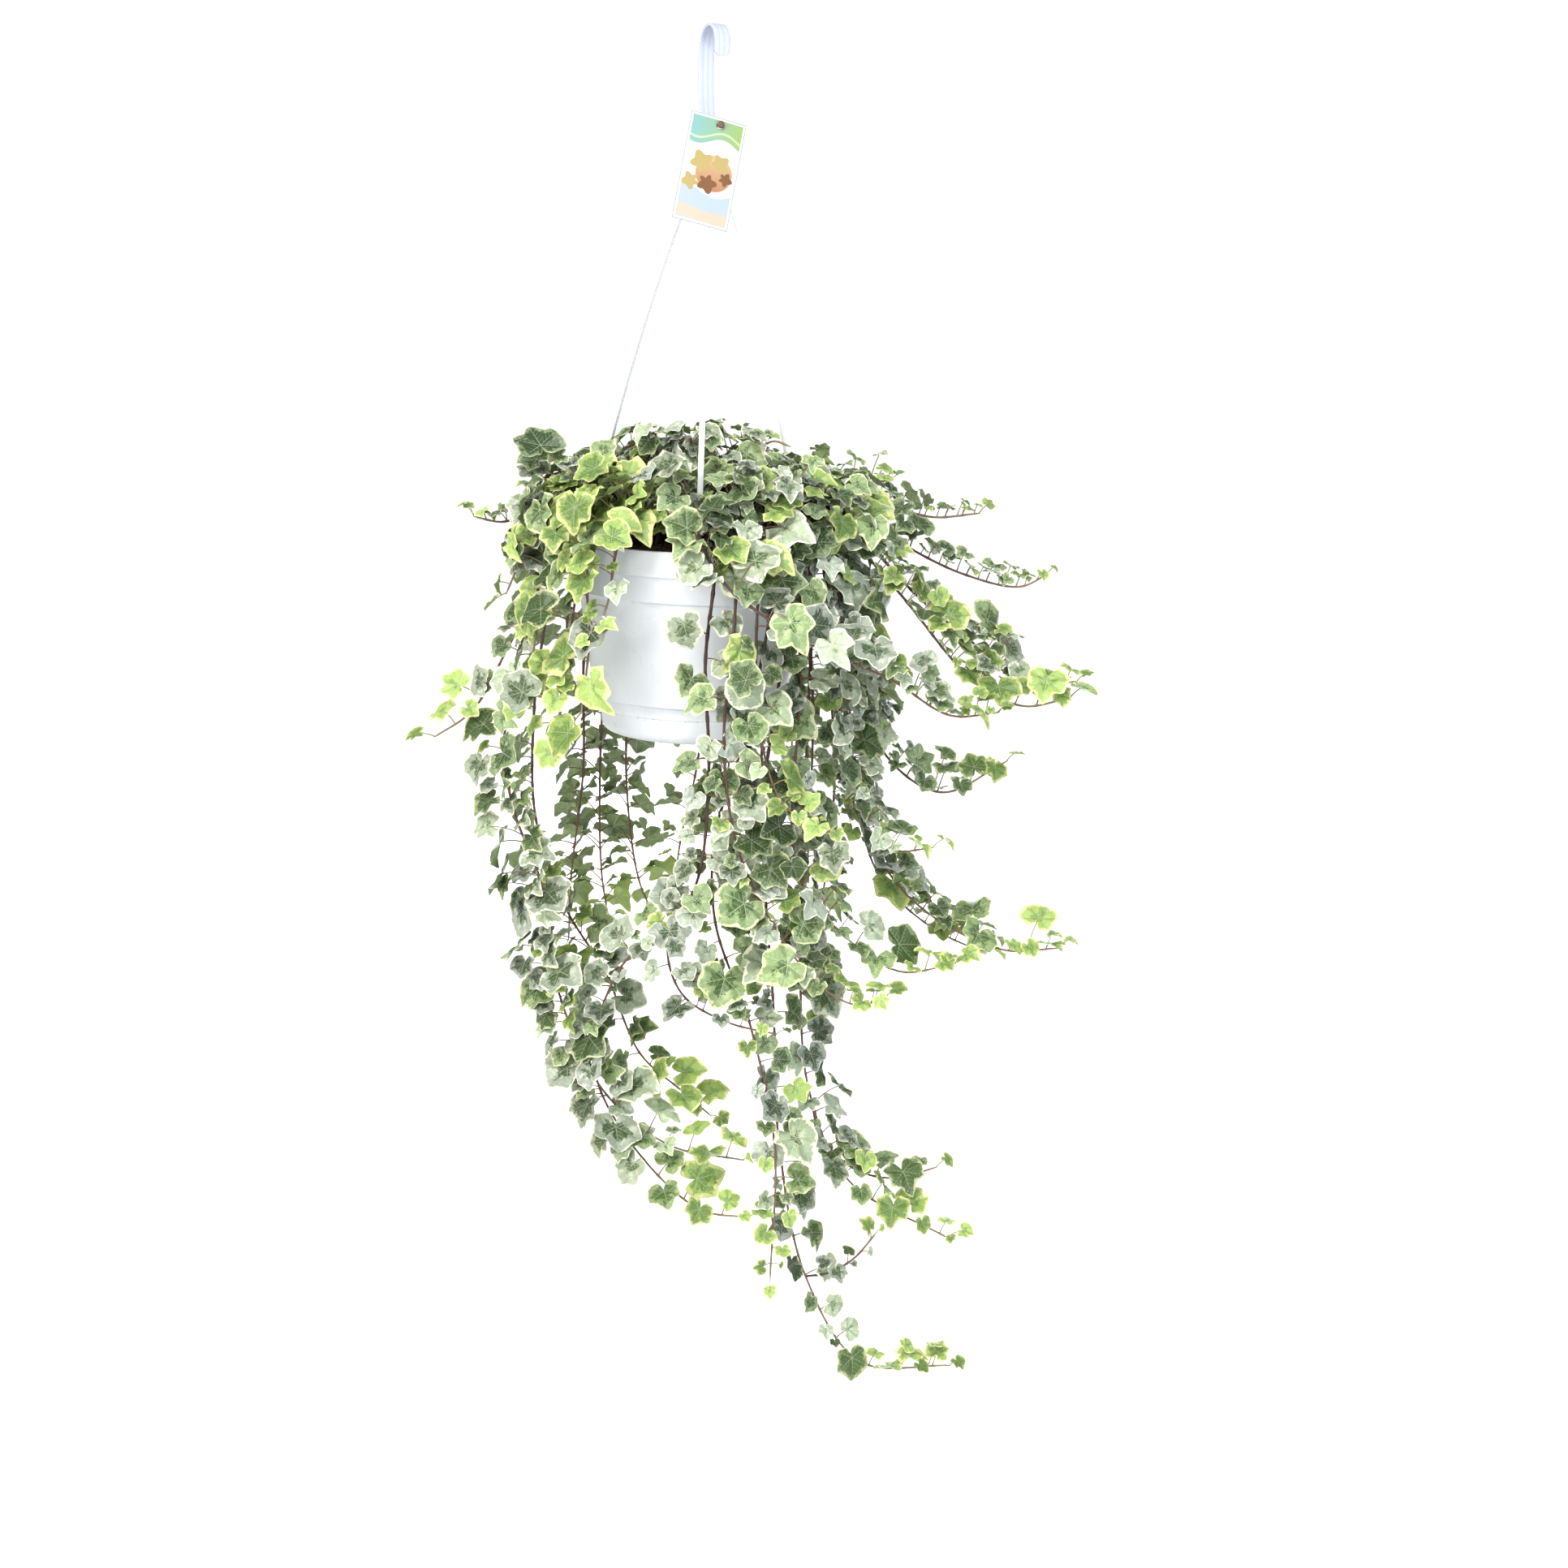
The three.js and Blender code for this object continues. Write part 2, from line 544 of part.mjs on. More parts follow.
// A three-sided tapering stem
function stemSolid({ curve, outward, radii, stations }) {
  const positions = [];
  const triangles = [];
  let across = outward.clone();
  stations.forEach((u, ring) => {
    const centre = curve.getPointAt(u);
    const tangent = curve.getTangentAt(u);
    across = across.clone().addScaledVector(tangent, -across.dot(tangent)).normalize();
    const beside = tangent.clone().cross(across);
    const radius = THREE.MathUtils.lerp(radii[0], radii[1], u);
    for (let corner = 0; corner < stemSides; corner += 1) {
      const angle = ((2 * Math.PI) / stemSides) * corner;
      const point = centre.clone().addScaledVector(across, radius * Math.cos(angle));
      point.addScaledVector(beside, radius * Math.sin(angle));
      positions.push(point.x, point.y, point.z);
      if (ring > 0) {
        const low = (ring - 1) * stemSides + corner;
        const beyond = (ring - 1) * stemSides + ((corner + 1) % stemSides);
        triangles.push(low, beyond, beyond + stemSides, low, beyond + stemSides, low + stemSides);
      }
    }
  });
  const end = (stations.length - 1) * stemSides;
  triangles.push(2, 1, 0, end, end + 1, end + 2);
  return solidFrom(positions, triangles);
}

// The middle of the stem's solid at a share of its length, on the straight between two rings
function stemMiddle({ curve, stations }, u) {
  const next = Math.max(1, stations.findIndex((station) => station >= u));
  const [low, high] = [stations[next - 1], stations[next]];
  const share = (u - low) / (high - low);
  return curve.getPointAt(low).lerp(curve.getPointAt(high), share);
}

// A leaf's place: where its stalk leaves the stem, where its blade starts and the blade's axes
function leafPlace(stem, along, station, turnSide) {
  const { curve, index, leaf } = stem;
  const { size: sizes, stalk: stalks, tilt, midrib: ribs } = habit;
  const length = curve.getLength();
  const atTip = turnSide === 0;
  const point = curve.getPointAt(along / length);
  const tangent = curve.getTangentAt(along / length);
  const up = new THREE.Vector3(0, 0, 1);
  const radial = new THREE.Vector3(point.x, point.y, 0).normalize();
  const crown = THREE.MathUtils.clamp((point.z - rimZ - crownBand.from) / crownBand.height, 0, 1);
  const level = Math.hypot(tangent.x, tangent.y) ** 2;
  const lift = THREE.MathUtils.lerp(...habit.lift, Math.max(crown, level * habit.levelLift));
  const facing = radial.clone().multiplyScalar(THREE.MathUtils.lerp(...habit.outward, crown));
  facing.addScaledVector(up, lift).normalize();
  const beside = tangent.clone().cross(facing).normalize();
  const side = beside.clone().multiplyScalar(atTip ? stalks.tipSide : turnSide);
  const taper = Math.min(1, sizes.atTip + (length - along) / sizes.taperLength);
  const size = leaf * (sizes.least + sizes.spread * draw(index, station, channels.size)) * taper;
  const stalk = tangent.clone().multiplyScalar(atTip ? 1 : stalks.along);
  stalk.addScaledVector(side, stalks.side).addScaledVector(facing, stalks.face).normalize();
  const reach = size * (stalks.least + stalks.spread * draw(index, station, channels.stalk));
  const base = point.clone().addScaledVector(stalk, reach);
  const across = tilt.across * (draw(index, station, channels.across) - 0.5);
  const forward = tilt.along * (draw(index, station, channels.along) - 0.5);
  const normal = facing.clone().addScaledVector(beside, across).addScaledVector(tangent, forward).normalize();
  const midrib = side.clone().multiplyScalar(ribs.side).addScaledVector(stalk, ribs.stalk);
  midrib.addScaledVector(up, -ribs.fall * (1 - crown)).addScaledVector(radial, ribs.outward * crown);
  midrib.addScaledVector(normal, -midrib.dot(normal)).normalize();
  midrib.applyAxisAngle(normal, tilt.turn * (draw(index, station, channels.turn) - 0.5));
  const root = stemMiddle(stem, along / length);
  stalk.copy(base).sub(root).normalize();
  return { root, base, stalk, normal, midrib, left: normal.clone().cross(midrib), size };
}

// A leaf: a thin lobed blade on a three-sided stalk that is sunk in the stem. A guard grows it all
// round by a margin, and may start its stalk a little way off the stem
function leafSolid(place, grow = 0, skip = 0) {
  const { root, base, stalk, normal, midrib, left } = place;
  const size = place.size + grow * 2;
  const kind = place.size > largeLeaf ? 'large' : place.size > mediumLeaf ? 'medium' : 'small';
  const half = outlines[kind];
  const mirrored = half.slice(0, -1).reverse();
  const outline = [
    ...half.map(([angle, reach, height]) => [-angle, reach, height]),
    ...mirrored,
  ];
  const count = outline.length;
  const rise = bladeThickness / 2 + grow;
  const width = petioleHalfWidth + grow;
  const positions = [];
  const put = (origin, forward, sideways, above) => {
    const spot = origin.clone().addScaledVector(midrib, forward);
    spot.addScaledVector(left, sideways).addScaledVector(normal, above);
    positions.push(spot.x, spot.y, spot.z);
  };
  for (const layer of [rise, -rise]) {
    outline.forEach(([angle, reach, height]) => {
      const turn = THREE.MathUtils.degToRad(angle);
      const forward = size * reach * Math.cos(turn);
      put(base, forward, size * reach * Math.sin(turn), size * height + layer);
    });
  }
  const [rightBase, leftBase, underBase] = [2 * count, 2 * count + 1, 2 * count + 2];
  put(base, 0, -width, rise);
  put(base, 0, width, rise);
  put(base, rise, 0, -rise);
  const foot = root.clone().addScaledVector(stalk, skip);
  put(foot, 0, -width * stalkTaper, rise * stalkTaper);
  put(foot, 0, width * stalkTaper, rise * stalkTaper);
  put(foot, rise * stalkTaper, 0, -rise * stalkTaper);
  const [rightFoot, leftFoot, underFoot] = [2 * count + 3, 2 * count + 4, 2 * count + 5];
  const tip = (count - 1) / 2;
  const triangles = [rightBase, tip, leftBase];
  for (let i = 0; i < count - 1; i += 1) {
    const anchor = i < tip ? rightBase : leftBase;
    triangles.push(anchor, i, i + 1);
    triangles.push(underBase, count + i + 1, count + i);
    triangles.push(count + i, count + i + 1, i + 1, count + i, i + 1, i);
  }
  triangles.push(underBase, count, 0, underBase, 0, rightBase);
  triangles.push(2 * count - 1, underBase, leftBase, 2 * count - 1, leftBase, count - 1);
  triangles.push(rightBase, leftBase, leftFoot, rightBase, leftFoot, rightFoot);
  triangles.push(leftBase, underBase, underFoot, leftBase, underFoot, leftFoot);
  triangles.push(underBase, rightBase, rightFoot, underBase, rightFoot, underFoot);
  triangles.push(rightFoot, leftFoot, underFoot);
  return solidFrom(positions, triangles);
}

// Everything placed so far, which a new leaf stays clear of
const placed = [];

function remember(solid, owner = null) {
  const { min, max } = solid.boundingBox();
  placed.push({ solid, min, max, owner });
}

function isClear(place, owner) {
  const whole = leafSolid(place, leafMargin);
  const offStem = leafSolid(place, leafMargin, stemClearance);
  const { min, max } = whole.boundingBox();
  return placed.every((other) => {
    const apart = [0, 1, 2].some((k) => min[k] > other.max[k] || max[k] < other.min[k]);
    const guard = other.owner === owner ? offStem : whole;
    return apart || guard.intersect(other.solid).isEmpty();
  });
}

// Leaves of one stem, on alternating sides, closer in the crown, and each one clear of the rest
function growLeaves(stem) {
  const { curve, index, straight } = stem;
  const length = curve.getLength();
  const leaves = [];
  const tryLeaf = (along, station, side) => {
    const place = leafPlace(stem, along, station, side);
    const clear = isClear(place, stem);
    if (clear) {
      const solid = leafSolid(place);
      remember(solid);
      leaves.push(solid);
    }
    return clear;
  };
  tryLeaf(length - tipLeafInset, 0, 0);
  let last = -hangingLeafSpacing;
  let along = straight + firstLeaf;
  for (let station = 1; along < length - lastLeaf; station += 1) {
    const side = station % 2 === 0 ? 1 : -1;
    const inCrown = curve.getPointAt(along / length).z > rimZ;
    const spacing = inCrown ? crownLeafSpacing : hangingLeafSpacing;
    if (along - last >= spacing && tryLeaf(along, station, side)) {
      last = along;
    }
    const [least, spread] = leafSpacingSpread;
    along += leafSpacing * (least + spread * draw(index, station, channels.spacing));
  }
  return leaves;
}

// The whole object

const object = new THREE.Group();

function addPart(name, solid, material) {
  const mesh = new THREE.Mesh(geometryOf(solid), material);
  mesh.name = name;
  object.add(mesh);
}

const fixed = {
  hook: [makeHook(), plastic],
  arm_front: [makeArm(armAzimuths.front), plastic],
  arm_right: [makeArm(armAzimuths.right), plastic],
  arm_left: [makeArm(armAzimuths.left), plastic],
  tag: [makeLabel(), card],
  tag_peg: [makePeg(), brownPlastic],
  saucer: [makeSaucer(), plastic],
  pot: [makePot(), plastic],
};
Object.entries(fixed).forEach(([name, [solid, material]]) => {
  addPart(name, solid, material);
  remember(solid);
});
const potMargin = 2;
const potRoom = turned(fromRim([
  [0, saucer.depth + potMargin],
  [rimRadius + potMargin, saucer.depth + potMargin],
  [rimRadius + potMargin, -potMargin],
  [0, -soilMiddleZ - potMargin],
]));

// Stems come first, so that every leaf can be kept clear of all of them
const plants = [];
const straight = rootDepth + footHeights[1];
Object.entries(vines).forEach(([name, vine], index) => {
  const curve = vineCurve(vine, index);
  const radii = [stemRadius.root, stemRadius.tip];
  const outward = direction(vine.root[0]);
  const branches = vine.branches ?? [];
  const forks = branches.map((route) => atRim(route[0]));
  const stems = [stemOf({ curve, index, leaf: vine.leaf, radii, straight, outward, forks })];
  branches.forEach((route, number) => {
    stems.push(stemOf({
      curve: curveThrough(route.map(atRim)),
      index: index + 100 * (number + 1),
      leaf: vine.leaf * branchLeafShare,
      radii: [stemRadius.branch, stemRadius.tip],
      straight: 0,
      outward,
    }));
  });
  plants.push({ name, stems, tone: vine.tone });
});
for (let i = 0; i < shoots.count; i += 1) {
  const curve = shootCurve(i);
  const start = curve.getPointAt(0);
  const outward = new THREE.Vector3(start.x, start.y, 0).normalize();
  const radii = [stemRadius.root, stemRadius.tip];
  const index = shoots.firstIndex + i;
  const stem = stemOf({ curve, index, leaf: shoots.leaf, radii, straight, outward });
  const tone = shoots.tones[i % shoots.tones.length];
  plants.push({ name: `shoot_${i + 1}`, stems: [stem], tone });
}

const rootHoles = plants.map(({ stems }) => {
  const { curve, outward } = stems[0];
  const foot = curve.getPointAt(0);
  const radius = stemRadius.root + rootGap / Math.cos(Math.PI / stemSides);
  const hole = new THREE.CylinderGeometry(radius, radius, holeLength, stemSides);
  hole.rotateX(Math.PI / 2);
  hole.rotateZ(Math.atan2(outward.y, outward.x) + Math.PI / 2);
  hole.translate(foot.x, foot.y, foot.z - rootGap + holeLength / 2);
  return solidOf(hole);
});
addPart('soil', makeSoil(rootHoles), peat);

plants.forEach((plant) => {
  plant.solids = plant.stems.map(stemSolid);
  plant.solids.forEach((solid, i) => remember(solid, plant.stems[i]));
});
remember(potRoom);
plants.forEach((plant) => {
  const leaves = plant.stems.flatMap(growLeaves);
  const solid = wasm.Manifold.union([...plant.solids, ...leaves]);
  const material = new THREE.MeshStandardMaterial({ color: tones[plant.tone], roughness: 0.5, metalness: 0 });
  addPart(plant.name, solid, material);
});

export default object;
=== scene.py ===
import sys
import logging
import math
from collections.abc import Callable
from dataclasses import dataclass
from enum import Enum
from functools import partial

import bpy
import numpy as np
from bpy.types import ID, Material, Node, NodeSocket, NodeTree, Object
from mathutils import Matrix, Vector


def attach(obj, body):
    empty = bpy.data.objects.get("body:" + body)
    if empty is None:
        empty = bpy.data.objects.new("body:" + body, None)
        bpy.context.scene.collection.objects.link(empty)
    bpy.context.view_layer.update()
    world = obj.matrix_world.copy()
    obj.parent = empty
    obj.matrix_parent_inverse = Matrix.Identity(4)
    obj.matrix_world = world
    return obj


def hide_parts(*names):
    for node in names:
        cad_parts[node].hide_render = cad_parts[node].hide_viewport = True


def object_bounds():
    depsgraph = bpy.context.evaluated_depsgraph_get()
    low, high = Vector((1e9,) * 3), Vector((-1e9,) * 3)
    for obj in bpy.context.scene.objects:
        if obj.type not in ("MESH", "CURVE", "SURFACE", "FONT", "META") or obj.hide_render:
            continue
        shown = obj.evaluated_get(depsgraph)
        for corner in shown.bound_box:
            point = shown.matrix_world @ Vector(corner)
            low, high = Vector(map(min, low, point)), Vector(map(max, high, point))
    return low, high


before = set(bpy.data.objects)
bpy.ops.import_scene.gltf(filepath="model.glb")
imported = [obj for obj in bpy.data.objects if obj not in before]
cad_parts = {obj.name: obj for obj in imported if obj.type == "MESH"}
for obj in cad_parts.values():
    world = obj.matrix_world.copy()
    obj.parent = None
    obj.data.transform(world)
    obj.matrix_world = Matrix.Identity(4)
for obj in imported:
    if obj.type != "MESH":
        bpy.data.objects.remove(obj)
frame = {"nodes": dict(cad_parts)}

# A hanging pot of variegated english ivy. Sizes are millimetres, turned to metres where a mesh is made.
# The hook hangs from the origin, and RIM is the height of the pot's rim.
Array = np.ndarray
MM = 0.001
BODY = "root"
RIM = -540.0
UP = np.array([0.0, 0.0, 1.0])
CAD_BOX = [list(corner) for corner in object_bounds()]
log = logging.getLogger("ivy")


class Tone(Enum):
    """The leaf colour that a stem mostly has."""

    GREY = "grey"
    GREEN = "green"
    LIME = "lime"


GREY, GREEN, LIME = Tone


# Shared arithmetic

def linear(code: str) -> tuple[float, float, float, float]:
    """Turns an sRGB hex colour into the linear colour that the shaders take.

    Args:
        code: the colour as "#rrggbb".

    Returns:
        Linear red, green and blue, and an alpha of 1.
    """
    shares = [int(code[i:i + 2], 16) / 255 for i in (1, 3, 5)]
    red, green, blue = [c / 12.92 if c <= 0.04045 else ((c + 0.055) / 1.055) ** 2.4 for c in shares]
    return red, green, blue, 1.0


def unit(vectors: Array) -> Array:
    """Gives vectors along the last axis a length of one."""
    return vectors / np.maximum(np.linalg.norm(vectors, axis=-1, keepdims=True), 1e-12)


def dot(first: Array, second: Array) -> Array:
    """Gives the dot product along the last axis, which is kept."""
    return np.sum(first * second, axis=-1, keepdims=True)


def draw(stem: float, station: Array, channel: int) -> Array:
    """Gives numbers from 0 to 1 that are the same each run, from the fraction of a large sine.

    Args:
        stem: the stem's number.
        station: the places on the stem, as whole numbers.
        channel: what the number is for.

    Returns:
        One number for each station.
    """
    value = np.sin(stem * 12.9898 + np.asarray(station) * 78.233 + channel * 37.719) * 43758.5453
    return value - np.floor(value)


def direction(azimuth: float) -> Array:
    """Gives the level unit vector at an azimuth in degrees, counted from +X."""
    angle = math.radians(azimuth)
    return np.array([math.cos(angle), math.sin(angle), 0.0])


def ring_quads(rings: int, columns: int) -> Array:
    """Joins rings of points into quads: point i of a ring to point i + 1 and to the next ring.

    Args:
        rings: how many rings there are, stored one after the other.
        columns: how many points each closed ring has.

    Returns:
        An array of four point numbers a face.
    """
    ring, column = np.meshgrid(np.arange(rings - 1), np.arange(columns), indexing="ij")
    low = (ring * columns + column).ravel()
    beyond = (ring * columns + (column + 1) % columns).ravel()
    return np.stack([low, beyond, beyond + columns, low + columns], axis=1)


def fan(centre: int, first: int, columns: int, turned: bool) -> Array:
    """Joins a closed ring to one point with triangles.

    Args:
        centre: the number of the middle point.
        first: the number of the ring's first point.
        columns: how many points the ring has.
        turned: whether the fan faces back along the rings.

    Returns:
        An array of three point numbers a face.
    """
    here = first + np.arange(columns)
    there = first + (np.arange(columns) + 1) % columns
    middle = np.full(columns, centre)
    return np.stack([middle, there, here] if turned else [middle, here, there], axis=1)


def copies(faces: list[Array], count: int, size: int) -> list[Array]:
    """Repeats faces for a number of like bodies, whose points come in runs of one size."""
    shift = (np.arange(count) * size)[:, None, None]
    return [(array + shift).reshape(-1, array.shape[1]) for array in faces]


def quadratic(start: Array, middle: Array, end: Array, count: int) -> Array:
    """Gives points of a quadratic curve: (1 - t)^2 start + 2t (1 - t) middle + t^2 end.

    Args:
        start: where the curve starts.
        middle: the point that it bends towards.
        end: where it ends.
        count: how many points it gets, with t in even steps from 0 to 1.

    Returns:
        The points, along the last axis but one.
    """
    t = np.linspace(0, 1, count)[:, None]
    return (1 - t) ** 2 * start + 2 * t * (1 - t) * middle + t**2 * end


def rounded(corners: list[tuple[float, float, float]], steps: int = 4) -> Array:
    """Rounds the corners of an outline, each by a quadratic curve between two points beside it.

    Args:
        corners: x, y and the reach of the rounding, which is 0 for a sharp corner.
        steps: how many pieces a rounded corner has.

    Returns:
        The outline's points, two columns. The first and last corners stay sharp.
    """
    places = np.array([corner[:2] for corner in corners], float)
    points = [places[0]]
    for i in range(1, len(corners) - 1):
        reach = corners[i][2]
        if reach == 0:
            points.append(places[i])
            continue
        start = places[i] + unit(places[i - 1] - places[i]) * reach
        end = places[i] + unit(places[i + 1] - places[i]) * reach
        points.extend(quadratic(start, places[i], end, steps + 1))
    points.append(places[-1])
    return np.array(points)


def put(name: str, data: ID) -> Object:
    """Makes an object from its data and links it to the scene."""
    made = bpy.data.objects.new(name, data)
    bpy.context.scene.collection.objects.link(made)
    return made


class Surface:
    """Points and faces gathered as whole arrays, then put into one mesh."""

    def __init__(self, *shapes: tuple[Array, list[Array]]) -> None:
        """Starts with whole shapes, each as its points and its faces."""
        self.points: list[Array] = []
        self.values: dict[str, list[Array]] = {"leaf": [], "edge": [], "nature": []}
        self.faces: list[tuple[Array, int]] = []
        self.count = 0
        for points, faces in shapes:
            self.add(points, faces)

    def add(self, points: Array, faces: list[Array], material: int = 0,
            leaf: Array | None = None, edge: Array | None = None, nature: Array | None = None) -> None:
        """Adds points, and faces that number them from 0.

        Args:
            points: places in millimetres.
            faces: arrays of triangles or quads.
            material: which material they take.
            leaf: the pattern's two coordinates at each point.
            edge: how far out, or along, each point is, from 0 to 1.
            nature: three numbers at each point that vary a leaf's or stem's colour.
        """
        total = len(points)
        self.points.append(points)
        given = ("leaf", leaf, (total, 2)), ("edge", edge, total), ("nature", nature, (total, 3))
        for name, value, shape in given:
            self.values[name].append(np.zeros(shape) if value is None else value)
        self.faces.extend((array + self.count, material) for array in faces)
        self.count += total

    def build(self, name: str, materials: list[Material], crease: float = 40) -> Object:
        """Makes the object, at the origin, in metres.

        Args:
            name: the piece's name.
            materials: its materials, in the order that the faces number them.
            crease: the angle in degrees from which an edge is drawn sharp.

        Returns:
            The new object.
        """
        mesh = bpy.data.meshes.new(name)
        corners = np.concatenate([array.ravel() for array, _ in self.faces]).astype(np.int32)
        sizes = np.concatenate([np.full(len(array), array.shape[1]) for array, _ in self.faces])
        slots = np.concatenate([np.full(len(array), number) for array, number in self.faces])
        mesh.vertices.add(self.count)
        mesh.vertices.foreach_set("co", (np.concatenate(self.points) * MM).astype(np.float32).ravel())
        mesh.loops.add(len(corners))
        mesh.loops.foreach_set("vertex_index", corners)
        mesh.polygons.add(len(sizes))
        mesh.polygons.foreach_set("loop_start", (np.cumsum(sizes) - sizes).astype(np.int32))
        mesh.polygons.foreach_set("material_index", slots.astype(np.int32))
        pattern = np.concatenate(self.values["leaf"])[corners]
        mesh.uv_layers.new(name="leaf").data.foreach_set("uv", pattern.astype(np.float32).ravel())
        for layer, kind, key in (("edge", "FLOAT", "value"), ("nature", "FLOAT_VECTOR", "vector")):
            values = np.concatenate(self.values[layer]).astype(np.float32).ravel()
            mesh.attributes.new(layer, kind, "POINT").data.foreach_set(key, values)
        mesh.update(calc_edges=True)
        mesh.shade_smooth()
        mesh.set_sharp_from_angle(angle=math.radians(crease))
        for material in materials:
            mesh.materials.append(material)
        return put(name, mesh)


def fit(piece: Object, node: str) -> None:
    """Puts a piece in the place of a construction node, on the object's one body."""
    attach(piece, BODY)
    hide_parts(node)
    log.info("%s stands for %s with %d faces", piece.name, node, len(piece.data.polygons))


def revolve(profile: Array, segments: int = 144) -> tuple[Array, list[Array]]:
    """Turns a profile round the pot's axis: radius times cosine and sine of the angle, at its height.

    Args:
        profile: radius and height pairs, from bottom to top on the outside. A radius of 0 is a pole.
        segments: how many steps the turn has.

    Returns:
        The points and the faces, which point outwards for a profile that runs counterclockwise.
    """
    start, end = profile[0][0] == 0, profile[-1][0] == 0
    ring = profile[int(start):len(profile) - int(end)]
    angle = np.linspace(0, 2 * math.pi, segments, endpoint=False)
    height = np.broadcast_to(ring[:, 1:], (len(ring), segments))
    points = np.stack([ring[:, :1] * np.cos(angle), ring[:, :1] * np.sin(angle), height], axis=-1)
    points = points.reshape(-1, 3)
    faces = [ring_quads(len(ring), segments)]
    poles = []
    if start:
        poles.append([0, 0, profile[0][1]])
        faces.append(fan(len(points), 0, segments, True))
    if end:
        faces.append(fan(len(points) + len(poles), len(points) - segments, segments, False))
        poles.append([0, 0, profile[-1][1]])
    if poles:
        points = np.concatenate([points, np.array(poles, float)])
    return points, faces


def sweep(path: Array, section: Array, azimuth: float,
          spread: Array | None = None) -> tuple[Array, list[Array]]:
    """Carries a section along a path in the upright plane of an azimuth and closes both ends.

    Each point is the path's point, plus the section's x along the level sideways direction and its
    y along the path's normal in the plane.

    Args:
        path: distance out along the azimuth and height of each point.
        section: x and y of the section's points, counterclockwise.
        azimuth: the plane's azimuth in degrees.
        spread: the section's width at each point, as a share.

    Returns:
        The points and the faces.
    """
    out = direction(azimuth)
    sideways = np.cross(UP, out)
    tangent = unit(np.gradient(path, axis=0))
    normal = -tangent[:, 1:] * out + tangent[:, :1] * UP
    middle = path[:, :1] * out + path[:, 1:] * UP
    wide = np.ones(len(path)) if spread is None else spread
    across = wide[:, None, None] * section[None, :, :1] * sideways
    points = middle[:, None] + across + section[None, :, 1:] * normal[:, None]
    rings, columns = points.shape[:2]
    points = np.concatenate([points.reshape(-1, 3), middle[:1], middle[-1:]])
    last = rings * columns
    ends = [fan(last, 0, columns, True), fan(last + 1, last - columns, columns, False)]
    return points, [ring_quads(rings, columns), *ends]


# Shader building

MIX, RANGE, NOISE = "Mix", "MapRange", "TexNoise"
# What adds a node to one tree: the function below with its tree
Nodes = Callable[..., Node]


def add(tree: NodeTree, kind: str, *inputs: object, **settings: object) -> Node:
    """Adds a shader node with its settings and links.

    Args:
        tree: the node tree.
        kind: the node's type without "ShaderNode", or, in capitals, the operation of a Math node.
        inputs: values, sockets or nodes for the node's enabled inputs, in order, or one dict with their
            names. A node stands for its first enabled output, and a hex colour for its linear one.
        settings: the node's own properties. A Mix node mixes colours.

    Returns:
        The new node.
    """
    if kind.isupper():
        kind, settings = "Math", {"operation": kind}
    elif kind == MIX:
        settings = {"data_type": "RGBA"}
    made = tree.nodes.new("ShaderNode" + kind)
    for name, value in settings.items():
        setattr(made, name, value)
    enabled = [socket for socket in made.inputs if socket.enabled]
    named = inputs[0] if inputs and isinstance(inputs[0], dict) else dict(enumerate(inputs))
    for key, value in named.items():
        target = enabled[key] if isinstance(key, int) else made.inputs[key]
        if isinstance(value, Node):
            value = next(socket for socket in value.outputs if socket.enabled)
        if isinstance(value, NodeSocket):
            tree.links.new(value, target)
        else:
            target.default_value = linear(value) if isinstance(value, str) else value
    return made


# Finishes

@dataclass(frozen=True)
class Finish:
    """A real material. Each kind works out the inputs of its own principled shader.

    Noise nodes take their vector, scale and detail, and Range nodes the old and the new least and most.
    """

    name: str

    def inputs(self, node: Nodes) -> dict[str, object]:
        """Gives the shader's inputs."""
        raise NotImplementedError

    def material(self) -> Material:
        """Makes the material."""
        material = bpy.data.materials.new(self.name)
        material.use_nodes = True
        tree = material.node_tree
        tree.nodes.clear()
        node = partial(add, tree)
        node("OutputMaterial", {"Surface": node("BsdfPrincipled", self.inputs(node))})
        return material


def vein_lines(node: Nodes, pattern: Node) -> tuple[Node, Node, NodeSocket]:
    """Gives the angle off the nearest of the veins, the distance beside it and the one from the stalk.

    The veins lie each 60 degrees, so the angle is the pattern's own, folded at 30 degrees, and the
    distance beside a vein is the reach times the sine of the angle off it.

    Args:
        node: what adds a node to the tree.
        pattern: the leaf's pattern coordinates.

    Returns:
        The three numbers.
    """
    parts = node("SeparateXYZ", pattern)
    aside = node("ABSOLUTE", parts.outputs["Y"])
    turn = node("ARCTAN2", aside, parts.outputs["X"])
    off = node("PINGPONG", turn, math.pi / 6)
    reach = node("VectorMath", pattern, operation="LENGTH").outputs["Value"]
    beside = node("MULTIPLY", reach, node("SINE", off))
    return off, beside, reach


